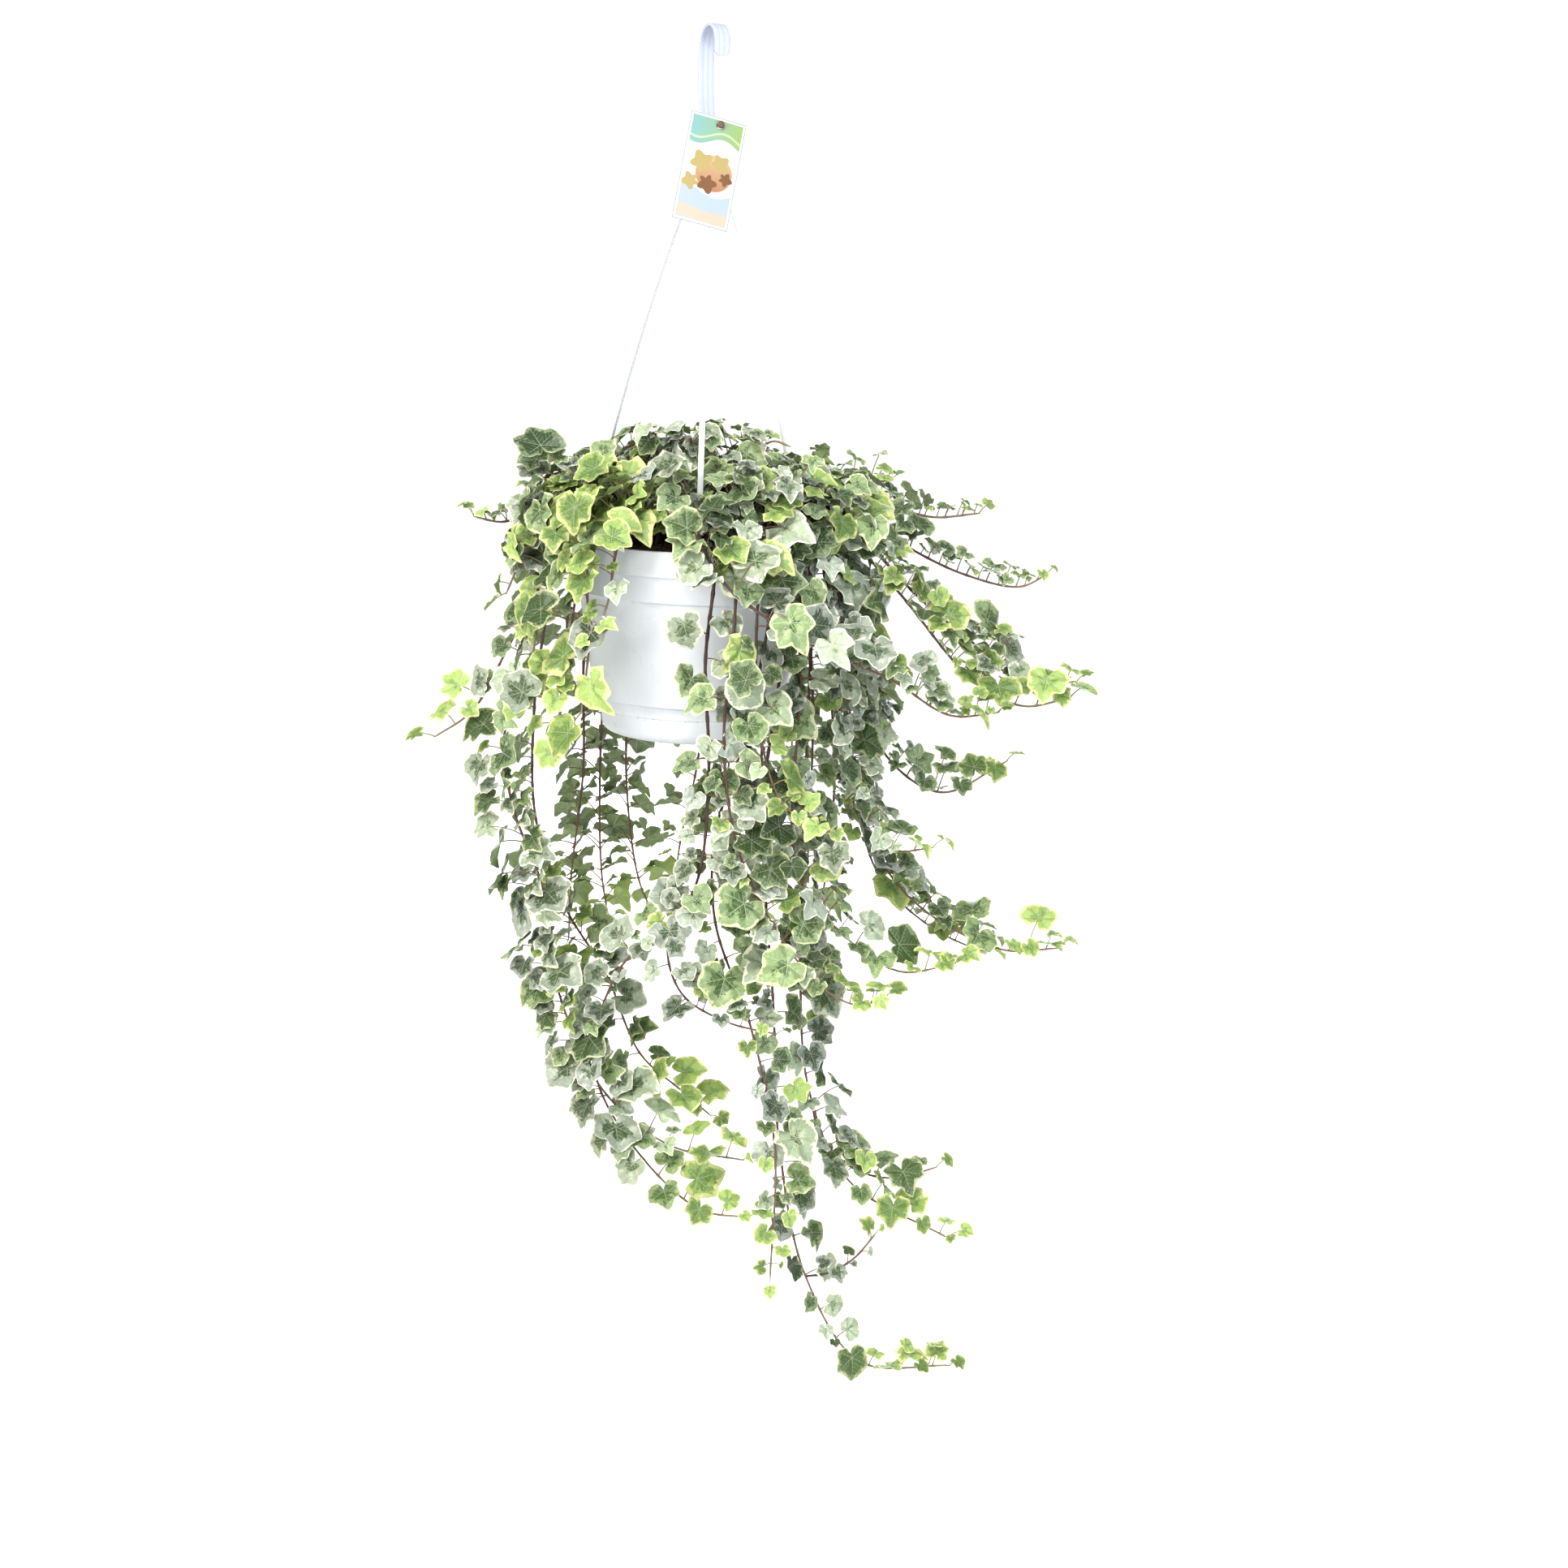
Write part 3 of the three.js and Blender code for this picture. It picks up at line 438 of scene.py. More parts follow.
@dataclass(frozen=True)
class PlasticFinish(Finish):
    """Injection-moulded polypropylene: white with a cold tint, softly glossy, with faint flow lines.

    The lines run down the wall where the melt flowed, and the wall is a little uneven from cooling.
    """

    name: str = "moulded_white_polypropylene"
    colour: str = "#f0f3fa"
    shade: str = "#e6ebf5"
    roughness: float = 0.3
    refraction: float = 1.49
    glow: float = 0.0
    glow_depth: float = 0.004
    line_scale: float = 14.0
    line_depth: float = 0.0003
    wave_scale: float = 24.0
    speck_height: float | None = None
    speck_band: float = 0.0022
    speck_scale: float = 420.0
    speck_colour: str = "#6d6455"

    def inputs(self, node: Nodes) -> dict[str, object]:
        """Gives the shader's inputs, with patterns on Object coordinates in metres."""
        place = node("TexCoord").outputs["Object"]
        parts = node("SeparateXYZ", place)
        turn = node("ARCTAN2", parts.outputs["Y"], parts.outputs["X"])
        drift = node("MULTIPLY", parts.outputs["Z"], 1.5)
        around = node("CombineXYZ", turn, drift, 0.0)
        lines = node(NOISE, around, self.line_scale, 3.0)
        waves = node(NOISE, place, self.wave_scale, 2.0)
        blend = node("MULTIPLY_ADD", lines, 0.6, 0.0)
        colour = node(MIX, blend, self.colour, self.shade)
        if self.speck_height is not None:
            colour = self._specks(node, place, parts.outputs["Z"], colour)
        relief = node("MULTIPLY_ADD", waves, 0.5, lines)
        bump = node("Bump", {"Height": relief, "Distance": self.line_depth, "Strength": 0.5})
        gloss = node(RANGE, waves, 0.3, 0.7, self.roughness - 0.05, self.roughness + 0.08)
        return {"Base Color": colour, "Roughness": gloss, "IOR": self.refraction, "Normal": bump,
                "Subsurface Weight": self.glow, "Subsurface Radius": (1.0, 1.0, 1.0),
                "Subsurface Scale": self.glow_depth}

    def _specks(self, node: Nodes, place: NodeSocket, height: NodeSocket, colour: Node) -> Node:
        """Adds the soil specks that lie in the groove, as a noise threshold inside a narrow band.

        Args:
            node: what adds a node to the tree.
            place: the Object coordinates.
            height: their Z.
            colour: the plastic's colour.

        Returns:
            The colour with the specks.
        """
        away = node("ABSOLUTE", node("SUBTRACT", height, self.speck_height * MM))
        band = node(RANGE, away, self.speck_band * 0.4, self.speck_band, 1.0, 0.0)
        grains = node(NOISE, place, self.speck_scale, 1.0)
        grains = node(RANGE, grains, 0.66, 0.7, 0.0, 0.8)
        specks = node("MULTIPLY", band, grains)
        return node(MIX, specks, colour, self.speck_colour)


@dataclass(frozen=True)
class PegFinish(Finish):
    """Moulded brown polyethylene: dull, with a slightly orange-peel skin."""

    name: str = "moulded_brown_polyethylene"
    colour: str = "#5d4337"
    worn: str = "#735647"
    roughness: float = 0.5
    refraction: float = 1.51
    skin_scale: float = 900.0

    def inputs(self, node: Nodes) -> dict[str, object]:
        """Gives the shader's inputs."""
        place = node("TexCoord").outputs["Object"]
        skin = node(NOISE, place, self.skin_scale, 2.0)
        colour = node(MIX, skin, self.colour, self.worn)
        bump = node("Bump", {"Height": skin, "Distance": 0.0001, "Strength": 0.4})
        return {"Base Color": colour, "Roughness": self.roughness, "IOR": self.refraction, "Normal": bump}


@dataclass(frozen=True)
class PeatFinish(Finish):
    """Damp sphagnum peat: nearly black crumbs with brown fibres and a few pale ones."""

    name: str = "damp_peat"
    dark: str = "#33251b"
    brown: str = "#67503d"
    pale: str = "#8a7560"
    crumb_scale: float = 260.0
    clod_scale: float = 60.0

    def inputs(self, node: Nodes) -> dict[str, object]:
        """Gives the shader's inputs."""
        place = node("TexCoord").outputs["Object"]
        crumbs = node(NOISE, place, self.crumb_scale, 4.0)
        clods = node(NOISE, place, self.clod_scale, 3.0)
        body = node(RANGE, clods, 0.35, 0.7)
        colour = node(MIX, body, self.dark, self.brown)
        fibres = node(RANGE, crumbs, 0.64, 0.72)
        colour = node(MIX, fibres, colour, self.pale)
        relief = node("ADD", crumbs, clods)
        bump = node("Bump", {"Height": relief, "Distance": 0.002, "Strength": 0.9})
        return {"Base Color": colour, "Roughness": 0.92, "Normal": bump}


@dataclass(frozen=True)
class StemFinish(Finish):
    """Ivy bark: young stems are green-brown and smooth, old ones purple-brown with fine ridges.

    The edge attribute runs from 0 at the root to 1 at the tip, and nature's first number is youth.
    """

    name: str = "ivy_bark"
    old: str = "#41302d"
    mid: str = "#74524a"
    young: str = "#8f8457"
    grain_scale: float = 700.0

    def inputs(self, node: Nodes) -> dict[str, object]:
        """Gives the shader's inputs."""
        place = node("TexCoord").outputs["Object"]
        share = node("Attribute", attribute_name="edge").outputs["Fac"]
        nature = node("Attribute", attribute_name="nature").outputs["Vector"]
        youth = node("SeparateXYZ", nature).outputs["X"]
        grain = node(NOISE, place, self.grain_scale, 3.0)
        age = node(RANGE, node("MULTIPLY_ADD", grain, 0.4, share), 0.35, 1.1)
        colour = node(MIX, age, self.old, self.mid)
        colour = node(MIX, youth, colour, self.young)
        bump = node("Bump", {"Height": grain, "Distance": 0.0003, "Strength": 0.6})
        return {"Base Color": colour, "Roughness": 0.55, "Normal": bump}


@dataclass(frozen=True)
class LeafFinish(Finish):
    """The upper skin of a variegated ivy leaf: waxy, half gloss, green patches inside a pale margin.

    A leaf's pattern coordinates are stretched so that its five veins run at 0, 60 and 120 degrees from
    the tip. The edge attribute is 0 at the stalk and 1 at the margin. Nature holds youth and two draws.
    The pale margin is wider between the veins, where the pale cells reach in, and the veins are pale.
    """

    dark: str
    pale: str
    margin: str
    young: str = "#9ab460"
    young_dark: str = "#71923f"
    young_margin: str = "#d6da90"
    vein: str = "#cad4b8"
    grey_share: float = 0.5
    margin_least: float = 0.0
    margin_spread: float = 0.15
    vein_width: float = 0.019
    branch_spacing: float = 0.17
    roughness: float = 0.38
    relief: float = 0.0006
    vein_strength: float = 0.55
    palest: float = 1.16
    fleck_strength: float = 0.4

    def inputs(self, node: Nodes) -> dict[str, object]:
        """Gives the inputs: distances to the veins, and two noises for the margin and the patches."""
        pattern = node("UVMap", uv_map="leaf")
        edge = node("Attribute", attribute_name="edge").outputs["Fac"]
        nature = node("Attribute", attribute_name="nature").outputs["Vector"]
        youth, first, second = node("SeparateXYZ", nature).outputs
        off, beside, reach = vein_lines(node, pattern)
        along = node("MULTIPLY", reach, node("COSINE", off))

        # Main veins taper towards the margin, and branches leave them in chevrons
        share = node("DIVIDE", beside, node("MULTIPLY_ADD", edge, -0.6 * self.vein_width, self.vein_width))
        main = node(RANGE, share, 0.35, 1.1, 1.0, 0.0, interpolation_type="SMOOTHSTEP")
        chevron = node("MULTIPLY_ADD", beside, -0.85, along)
        chevron = node("MULTIPLY_ADD", chevron, 1 / self.branch_spacing, first)
        gap = node("PINGPONG", chevron, 0.5)
        branch = node(RANGE, gap, 0.02, 0.1, 1.0, 0.0, interpolation_type="SMOOTHSTEP")
        nearness = node(RANGE, beside, 0.02, 0.26, 0.7, 0.15)
        branch = node("MULTIPLY", branch, nearness)
        veins = node("MAXIMUM", main, branch)

        # The ragged pale margin, deeper between the veins, on the real distance to the outline
        ragged, patches = (
            node(NOISE, {"Vector": pattern, "W": node("MULTIPLY", seed, 60.0), "Scale": scale, "Detail": 4.0,
                         "Roughness": rough, "Distortion": bent}, noise_dimensions="4D")
            for seed, scale, rough, bent in ((first, 4.2, 0.65, 0.6), (second, 3.8, 0.55, 0.9)))
        deepest = self.margin_least + self.margin_spread
        depth = node(RANGE, ragged, 0.36, 0.7, self.margin_least, deepest)
        width = node(RANGE, first, 0.0, 1.0, 0.4, 1.5)
        depth = node("MULTIPLY", depth, width)
        between = node("MULTIPLY_ADD", off, 0.06, depth)
        outline = node("DIVIDE", reach, node("MAXIMUM", edge, 0.02))
        gap = node("SUBTRACT", outline, reach)
        past = node("SUBTRACT", between, gap)
        margin = node(RANGE, past, -0.01, 0.02, interpolation_type="SMOOTHSTEP")

        # A grey-green zone follows the margin inwards by a drawn depth, with flecks, round a dark green heart
        inward = node("MULTIPLY_ADD", patches, 1.1, past)
        inward = node("MULTIPLY_ADD", second, 0.5, inward)
        limit = 0.8 - 0.6 * self.grey_share
        spread = node(RANGE, inward, limit - 0.05, limit + 0.08, interpolation_type="SMOOTHSTEP")
        flecks = node(RANGE, ragged, 0.5, 0.62, 0.0, self.fleck_strength)
        pale = node(MIX, flecks, self.pale, self.margin)
        green = node(MIX, spread, self.dark, pale)
        fresh = node(MIX, spread, self.young_dark, self.young)
        green = node(MIX, youth, green, fresh)
        rim = node(MIX, youth, self.margin, self.young_margin)
        blade = node(MIX, margin, green, rim)
        veined = node("MULTIPLY", veins, self.vein_strength)
        blade = node(MIX, veined, blade, self.vein)
        light = node(RANGE, second, 0.0, 1.0, 0.68, self.palest)
        blade = node("HueSaturation", {"Value": light, "Color": blade})

        skin = node("MULTIPLY", patches, 0.35)
        raised = node("MULTIPLY_ADD", veins, -0.6, skin)
        bump = node("Bump", {"Height": raised, "Distance": self.relief, "Strength": 0.6})
        gloss = node(RANGE, patches, 0.3, 0.7, self.roughness - 0.04, self.roughness + 0.1)
        return {"Base Color": blade, "Roughness": gloss, "Specular IOR Level": 0.4, "Normal": bump}


@dataclass(frozen=True)
class UndersideFinish(Finish):
    """The lower skin of an ivy leaf: paler and duller than the upper, with raised veins.

    Its colours are lightened beyond that: painted light for the light that shines through a leaf whose
    underside lies in shade.
    """

    name: str = "leaf_underside"
    pale: str = "#9dab88"
    olive: str = "#809468"
    young: str = "#b0c873"
    vein: str = "#c0caa6"
    vein_width: float = 0.03

    def inputs(self, node: Nodes) -> dict[str, object]:
        """Gives the shader's inputs, from the same vein pattern as the upper side."""
        pattern = node("UVMap", uv_map="leaf")
        nature = node("Attribute", attribute_name="nature").outputs["Vector"]
        youth = node("SeparateXYZ", nature).outputs["X"]
        beside = vein_lines(node, pattern)[1]
        veins = node(RANGE, beside, self.vein_width * 0.3, self.vein_width, 1.0, 0.0)
        patches = node(NOISE, pattern, 3.0, 3.0)
        patches = node(RANGE, patches, 0.4, 0.65)
        colour = node(MIX, patches, self.olive, self.pale)
        colour = node(MIX, youth, colour, self.young)
        colour = node(MIX, veins, colour, self.vein)
        bump = node("Bump", {"Height": veins, "Distance": 0.0006, "Strength": 0.7})
        return {"Base Color": colour, "Roughness": 0.58, "Normal": bump}


# A value, the edge below which a colour lies over what is drawn so far, its soft width, and the colour
Layer = tuple[Node | NodeSocket, float, float, Node | str]


@dataclass(frozen=True)
class CardFinish(Finish):
    """Coated card, printed on both sides, with a drawing of the label's own.

    The front has a green wash with a lighter line across its top, a warm round sun with ivy leaves
    over it, pale blue hills, a peach stripe and a white border, and a grey line along its very edge that
    is painted edge shade. The back has a plain pale frame.
    Pattern coordinates are millimetres from the card's middle.
    """

    front: bool = True
    paper: str = "#dfe1dd"
    wash: str = "#90aa5c"
    wash_cold: str = "#7aa8aa"
    wash_light: str = "#b6c79c"
    sun: str = "#c0a27c"
    sun_warm: str = "#a87856"
    leaf: str = "#ac9a62"
    leaf_dark: str = "#7a5334"
    hills: str = "#a9b6c0"
    stripe: str = "#c4b3a0"
    # The grey of the back's printed frame line, and of the front's edge line, which is painted edge shade
    frame: str = "#a2a4a9"

    def inputs(self, node: Nodes) -> dict[str, object]:
        """Gives the shader's inputs, with the front's or the back's picture."""
        pattern = node("UVMap", uv_map="leaf")
        x, y, _ = node("SeparateXYZ", pattern).outputs
        layers = self._front(node, pattern, x, y) if self.front else self._back(node, x, y)
        fibres = node(NOISE, pattern, 1.6, 2.0)
        bump = node("Bump", {"Height": fibres, "Distance": 0.00008, "Strength": 0.3})
        picture = self.paper
        for value, edge, soft, colour in layers:
            mask = node(RANGE, value, edge - soft / 2, edge + soft / 2, 1.0, 0.0)
            picture = node(MIX, mask, picture, colour)
        return {"Base Color": picture, "Roughness": 0.32, "Normal": bump}

    def _front(self, node: Nodes, pattern: Node, x: NodeSocket, y: NodeSocket) -> list[Layer]:
        """Gives the front's layers, from the paper up."""
        wave = node("SINE", node("MULTIPLY_ADD", x, 0.11, 0.6))
        hill_top = node("MULTIPLY_ADD", wave, 4.0, y)
        sun = node(MIX, node(RANGE, y, -20.0, 16.0), self.sun_warm, self.sun)
        stripe = node("MULTIPLY_ADD", wave, 1.5, y)
        wash_edge = node("MULTIPLY_ADD", wave, -5.0, y)
        wash = node(MIX, node(RANGE, x, -30.0, 30.0), self.wash_cold, self.wash)
        along = node("SUBTRACT", node("ABSOLUTE", y), 29.5)
        cut = node("MULTIPLY", node("MAXIMUM", node("ABSOLUTE", x), along), -1.0)
        return [
            (hill_top, -24.0, 0.8, self.hills),
            (self._shape(node, pattern, (5.0, -2.0), 20.0, 0.0, 0.0), 1.0, 0.06, sun),
            (node("ABSOLUTE", node("ADD", stripe, 50.0)), 6.5, 0.8, self.stripe),
            (node("MULTIPLY", wash_edge, -1.0), -31.0, 1.5, wash),
            (node("ABSOLUTE", node("ADD", wash_edge, -38.0)), 1.1, 1.0, self.wash_light),
            *((self._shape(node, pattern, centre, size, turn, 0.27), 1.0, 0.06, colour)
              for centre, size, turn, colour in (
                ((-17.0, -15.0), 11.0, 200.0, self.leaf), ((-9.0, 6.0), 14.0, 120.0, self.leaf),
                ((-1.0, -13.0), 12.0, 290.0, self.leaf_dark), ((9.0, 9.0), 11.5, 45.0, self.leaf),
                ((17.0, -5.0), 8.5, 350.0, self.leaf_dark))),
            (cut, -27.3, 0.2, self.paper),
            # The grey line along the card's very edge is painted shade that outlines the card
            (cut, -29.05, 0.3, self.frame),
        ]

    def _back(self, node: Nodes, x: NodeSocket, y: NodeSocket) -> list[Layer]:
        """Gives the back's one layer: a thin frame line on bare paper."""
        across, along = (node("SUBTRACT", node("ABSOLUTE", value), half)
                         for value, half in ((x, 25.0), (y, 54.0)))
        line = node("ABSOLUTE", node("MAXIMUM", across, along))
        return [(line, 0.5, 0.3, self.frame)]

    @staticmethod
    def _shape(node: Nodes, pattern: Node, centre: tuple[float, float], size: float, turn: float,
               lobes: float) -> Node:
        """Gives the distance over the reach of a round shape or a five-lobed leaf, 1 at its outline.

        The reach adds the cosine of five times the angle, for the lobes, and a cosine for the tip.

        Args:
            node: what adds a node to the tree.
            pattern: the card's coordinates.
            centre: the shape's middle.
            size: its reach in millimetres.
            turn: the direction of its tip in degrees.
            lobes: how deep the lobes are cut, from 0 for a disc.

        Returns:
            The share.
        """
        away = node("VectorMath", pattern, (*centre, 0.0), operation="SUBTRACT")
        parts = node("SeparateXYZ", away)
        angle = node("ARCTAN2", parts.outputs["Y"], parts.outputs["X"])
        angle = node("SUBTRACT", angle, math.radians(turn))
        fivefold = node("COSINE", node("MULTIPLY", angle, 5.0))
        forward = node("COSINE", angle)
        reach = node("MULTIPLY_ADD", fivefold, lobes * size * 0.6, size * (1 - lobes))
        reach = node("MULTIPLY_ADD", forward, lobes * size * 0.7, reach)
        distance = node("VectorMath", away, operation="LENGTH").outputs["Value"]
        return node("DIVIDE", distance, reach)


@dataclass(frozen=True)
class BoardFinish(Finish):
    """Matt white board: even, without gloss, and lit up to the white that the camera sees as ground."""

    name: str = "matt_white_board"

    def inputs(self, node: Nodes) -> dict[str, object]:
        """Gives the shader's inputs."""
        seen = node("LightPath").outputs["Is Camera Ray"]
        return {"Base Color": "#dcdcdc", "Roughness": 1.0, "Emission Color": "#ffffff",
                "Emission Strength": node("MULTIPLY", seen, 0.8)}


# Growth. Heights in the routes are from the rim

# A stem's foot: the heights of its three points, and the length that bears no leaves
FOOT_HEIGHTS = (-20.0, 6.0, 14.0)
STRAIGHT = 26.0
# The stems' numbers in the draws. Vines have those from 0, and their side branches those from BRANCHES
UPPER_SHOOTS, LOWER_SHOOTS, BRANCHES = range(60, 70), range(80, 90), 100


class StemCurve:
    """A smooth curve through points: a centripetal Catmull-Rom spline, read by the distance along it.

    Each span is a cubic whose end slopes come from its neighbours, weighted by the square roots of the
    distances between the points. Beyond each end the last span is mirrored.
    """

    def __init__(self, points: Array) -> None:
        """Works out the cubics and the length up to each of 400 shares of the curve."""
        ends = (2 * points[:1] - points[1:2], 2 * points[-1:] - points[-2:-1])
        padded = np.concatenate([ends[0], points, ends[1]])
        gaps = np.sqrt(np.linalg.norm(np.diff(padded, axis=0), axis=1))[:, None]
        before, span, after = gaps[:-2], gaps[1:-1], gaps[2:]
        p0, p1, p2, p3 = padded[:-3], padded[1:-2], padded[2:-1], padded[3:]
        start = ((p1 - p0) / before - (p2 - p0) / (before + span) + (p2 - p1) / span) * span
        end = ((p2 - p1) / span - (p3 - p1) / (span + after) + (p3 - p2) / after) * span
        self.cubics = np.stack([p1, start, 3 * (p2 - p1) - 2 * start - end, 2 * (p1 - p2) + start + end])
        self.shares = np.linspace(0, 1, 401)
        steps = np.linalg.norm(np.diff(self._at(self.shares), axis=0), axis=1)
        self.lengths = np.concatenate([[0], np.cumsum(steps)])
        self.length = self.lengths[-1]

    def _at(self, share: Array) -> Array:
        """Gives the points at shares of the spans, from 0 to 1."""
        place = np.clip(share, 0, 1) * self.cubics.shape[1]
        span = np.minimum(place.astype(int), self.cubics.shape[1] - 1)
        t = (place - span)[:, None]
        a, b, c, d = self.cubics[:, span]
        return a + t * (b + t * (c + t * d))

    def point(self, along: Array) -> Array:
        """Gives the points at distances along the curve."""
        return self._at(np.interp(along, self.lengths, self.shares))

    def tangent(self, along: Array) -> Array:
        """Gives the directions at distances along the curve."""
        share = np.interp(along, self.lengths, self.shares)
        return unit(self._at(np.minimum(share + 1e-4, 1)) - self._at(np.maximum(share - 1e-4, 0)))


@dataclass(frozen=True)
class LeafShape:
    """An ivy leaf's outline round the point where its stalk joins: three pairs of lobes and notches.

    The knots are at 0, 30, 60, 90, 120, 150 and 180 degrees of the pattern, from the tip to the base,
    each with its reach as a share of the leaf's size and its real angle. Lobes lie at 0, 60 and 120.
    """

    reach: tuple[float, ...]
    angle: tuple[float, ...]
    crisp: float


# The four shapes, and the draws up to which each of the first three grows
SHAPE_SHARES = (0.4, 0.68, 0.9)
LEAF_SHAPES = (
    LeafShape((1.05, 0.81, 0.95, 0.8, 0.85, 0.66, 0.13), (0, 33, 58, 87, 117, 147, 180), 0.6),
    LeafShape((0.96, 0.84, 0.92, 0.84, 0.86, 0.7, 0.12), (0, 32, 60, 88, 118, 148, 180), 0.35),
    LeafShape((1.06, 0.8, 0.84, 0.75, 0.78, 0.62, 0.13), (0, 27, 50, 84, 116, 148, 180), 0.5),
    LeafShape((1.1, 0.7, 0.92, 0.68, 0.74, 0.56, 0.12), (0, 30, 57, 88, 120, 149, 180), 0.75),
)


@dataclass
class Leaves:
    """Leaves as whole arrays: where each stalk starts, where each blade starts, its axes and its looks."""

    root: Array
    base: Array
    midrib: Array
    left: Array
    normal: Array
    size: Array
    nature: Array
    skin: Array

    def pick(self, index: Array) -> "Leaves":
        """Gives some of the leaves, by number or by a mask."""
        return Leaves(*(value[index] for value in vars(self).values()))

    @staticmethod
    def joined(groups: list["Leaves"]) -> "Leaves":
        """Puts groups of leaves one after the other."""
        rows = zip(*(vars(group).values() for group in groups), strict=True)
        return Leaves(*(np.concatenate(row) for row in rows))

    def __len__(self) -> int:
        """Gives how many leaves there are."""
        return len(self.size)


@dataclass(frozen=True)
class Blade:
    """The mesh of a leaf blade: rings round the stalk's end on top, one ring and a pole underneath.

    A point at pattern angle p and ring share q lies at q times the outline's reach, at the real angle.
    Its height over the leaf's plane adds up the lobes' droop, raised notches, a fold along the midrib,
    the swelling between the veins, a lengthwise curl and margin waves, each times the leaf's size.
    """

    columns: int = 36
    rings: tuple[float, ...] = (0.34, 0.7, 1.0)
    under: float = 0.62
    thickness: float = 0.55

    def faces(self) -> tuple[list[Array], list[Array]]:
        """Gives one leaf's faces on top, and those underneath."""
        columns, count = self.columns, len(self.rings)
        quads = ring_quads(count + 1, columns)[:, ::-1] + 1
        split = (count - 1) * columns
        last = (count + 1) * columns + 1
        top = [fan(0, 1, columns, False), quads[:split]]
        return top, [quads[split:], fan(last, last - columns, columns, True)]

    def outline(self, leaves: Leaves, pattern: Array) -> tuple[Array, Array]:
        """Gives the reach, as a share of the size, and the real angle at pattern angles.

        Args:
            leaves: the leaves, whose third draw picks the shape.
            pattern: signed pattern angles in radians.

        Returns:
            Two arrays, a row for each leaf and a column for each angle.
        """
        kind = np.searchsorted(SHAPE_SHARES, leaves.nature[:, 2])
        reach = np.array([shape.reach for shape in LEAF_SHAPES])[kind]
        angle = np.radians(np.array([shape.angle for shape in LEAF_SHAPES], float))[kind]
        crisp = np.array([shape.crisp for shape in LEAF_SHAPES])[kind][:, None]
        place = np.abs(pattern) / (math.pi / 6)
        knot = np.minimum(place.astype(int), 5)
        share = place - knot
        sides = np.where(pattern < 0, 1, 0)
        salt = np.arange(7) * 7.3 + 2.1
        lean = 1 + 0.1 * np.sin(leaves.nature[:, 1:2] * 40 + salt + 11 * np.arange(2)[:, None, None])
        lean[:, :, 0] = 1
        reach = reach * lean
        rows = np.arange(len(leaves))[:, None]
        here, there = reach[sides, rows, knot], reach[sides, rows, knot + 1]
        from_lobe = np.where(knot % 2 == 0, share, 1 - share)
        lobe, notch = np.where(knot % 2 == 0, here, there), np.where(knot % 2 == 0, there, here)
        sharp = 1 - np.sin(from_lobe * math.pi / 2)
        soft = (1 + np.cos(from_lobe * math.pi)) / 2
        blend = crisp * sharp + (1 - crisp) * soft
        turned = angle[rows, knot] * (1 - share) + angle[rows, knot + 1] * share
        ripple = 1 + 0.014 * np.sin(7 * pattern + 40 * leaves.nature[:, 1:2])
        ripple += 0.012 * np.sin(12 * pattern + 60 * leaves.nature[:, 2:])
        return (notch + (lobe - notch) * blend) * ripple, np.where(pattern < 0, -turned, turned)

    def points(self, leaves: Leaves, pattern: Array, shares: Array) -> tuple[Array, ...]:
        """Gives places on the top of the blades.

        Args:
            leaves: the leaves.
            pattern: pattern angles in radians.
            shares: how far out each ring is.

        Returns:
            The places by leaf, ring and angle, the pattern coordinates and the ring share at each.
        """
        reach, angle = self.outline(leaves, pattern)
        size = leaves.size[:, None, None]
        ring = shares[None, :, None]
        out = ring * reach[:, None, :]
        x, y = out * np.cos(angle)[:, None, :], out * np.sin(angle)[:, None, :]
        first, second = (leaves.nature[:, i][:, None, None] for i in (1, 2))
        vein_off = np.abs((np.abs(pattern) / (math.pi / 3) + 0.5) % 1 - 0.5) * 2
        droop = (0.2 * np.exp(-(pattern / 0.6) ** 2) + 0.1 * (1 - vein_off)) * (0.3 + 1.2 * first)
        raised = 0.09 * vein_off * ring**2
        fold = (0.02 + 0.22 * second) * np.abs(y)
        swell = 0.05 * vein_off * np.sin(ring * math.pi)
        curl = (0.16 * first - 0.04) * x**2 + (0.3 * (second - 0.6)) * y**2
        wave = 0.022 * np.sin(7 * pattern + 20 * first) + 0.014 * np.sin(13 * pattern + 30 * second)
        z = -droop * ring**2 + raised + fold + swell - curl + wave * ring**3
        axes = [axis[:, None, None] for axis in (leaves.midrib, leaves.left, leaves.normal)]
        local = x[..., None] * axes[0] + y[..., None] * axes[1] + z[..., None] * axes[2]
        places = leaves.base[:, None, None] + local * size[..., None]
        leaf = np.stack(np.broadcast_arrays(out * np.cos(pattern), out * np.sin(pattern)), axis=-1)
        return places, leaf, np.broadcast_to(ring, out.shape)

    def onto(self, surface: Surface, leaves: Leaves, upper: int, lower: int) -> None:
        """Adds whole blades to a surface.

        Args:
            surface: what the blades are added to.
            leaves: the leaves.
            upper: the number of the upper side's material.
            lower: the number of the lower side's material.
        """
        count, columns = len(leaves), self.columns
        pattern = (np.arange(columns) / columns * 2 - 1) * math.pi
        shares = np.array([1e-4, *self.rings, self.under])
        places, leaf, edge = self.points(leaves, pattern, shares)
        places[:, -1] -= leaves.normal[:, None] * self.thickness
        below = places[:, 0, :1] - leaves.normal[:, None] * self.thickness
        edge = edge[..., None]
        # Each leaf is its middle point on top, its rings and its pole underneath
        points, leaf, edge = (
            np.concatenate([value[:, 0, :1], value[:, 1:].reshape(count, -1, value.shape[-1]), pole], axis=1)
            for value, pole in ((places, below), (leaf, leaf[:, 0, :1]), (edge, edge[:, 0, :1])))
        total = points.shape[1]
        top, under = (copies(side, count, total) for side in self.faces())
        surface.add(points.reshape(-1, 3), top, upper, leaf.reshape(-1, 2), edge.ravel(),
                    np.repeat(leaves.nature, total, axis=0))
        start = surface.count - count * total
        surface.faces.extend((array + start, lower) for array in under)


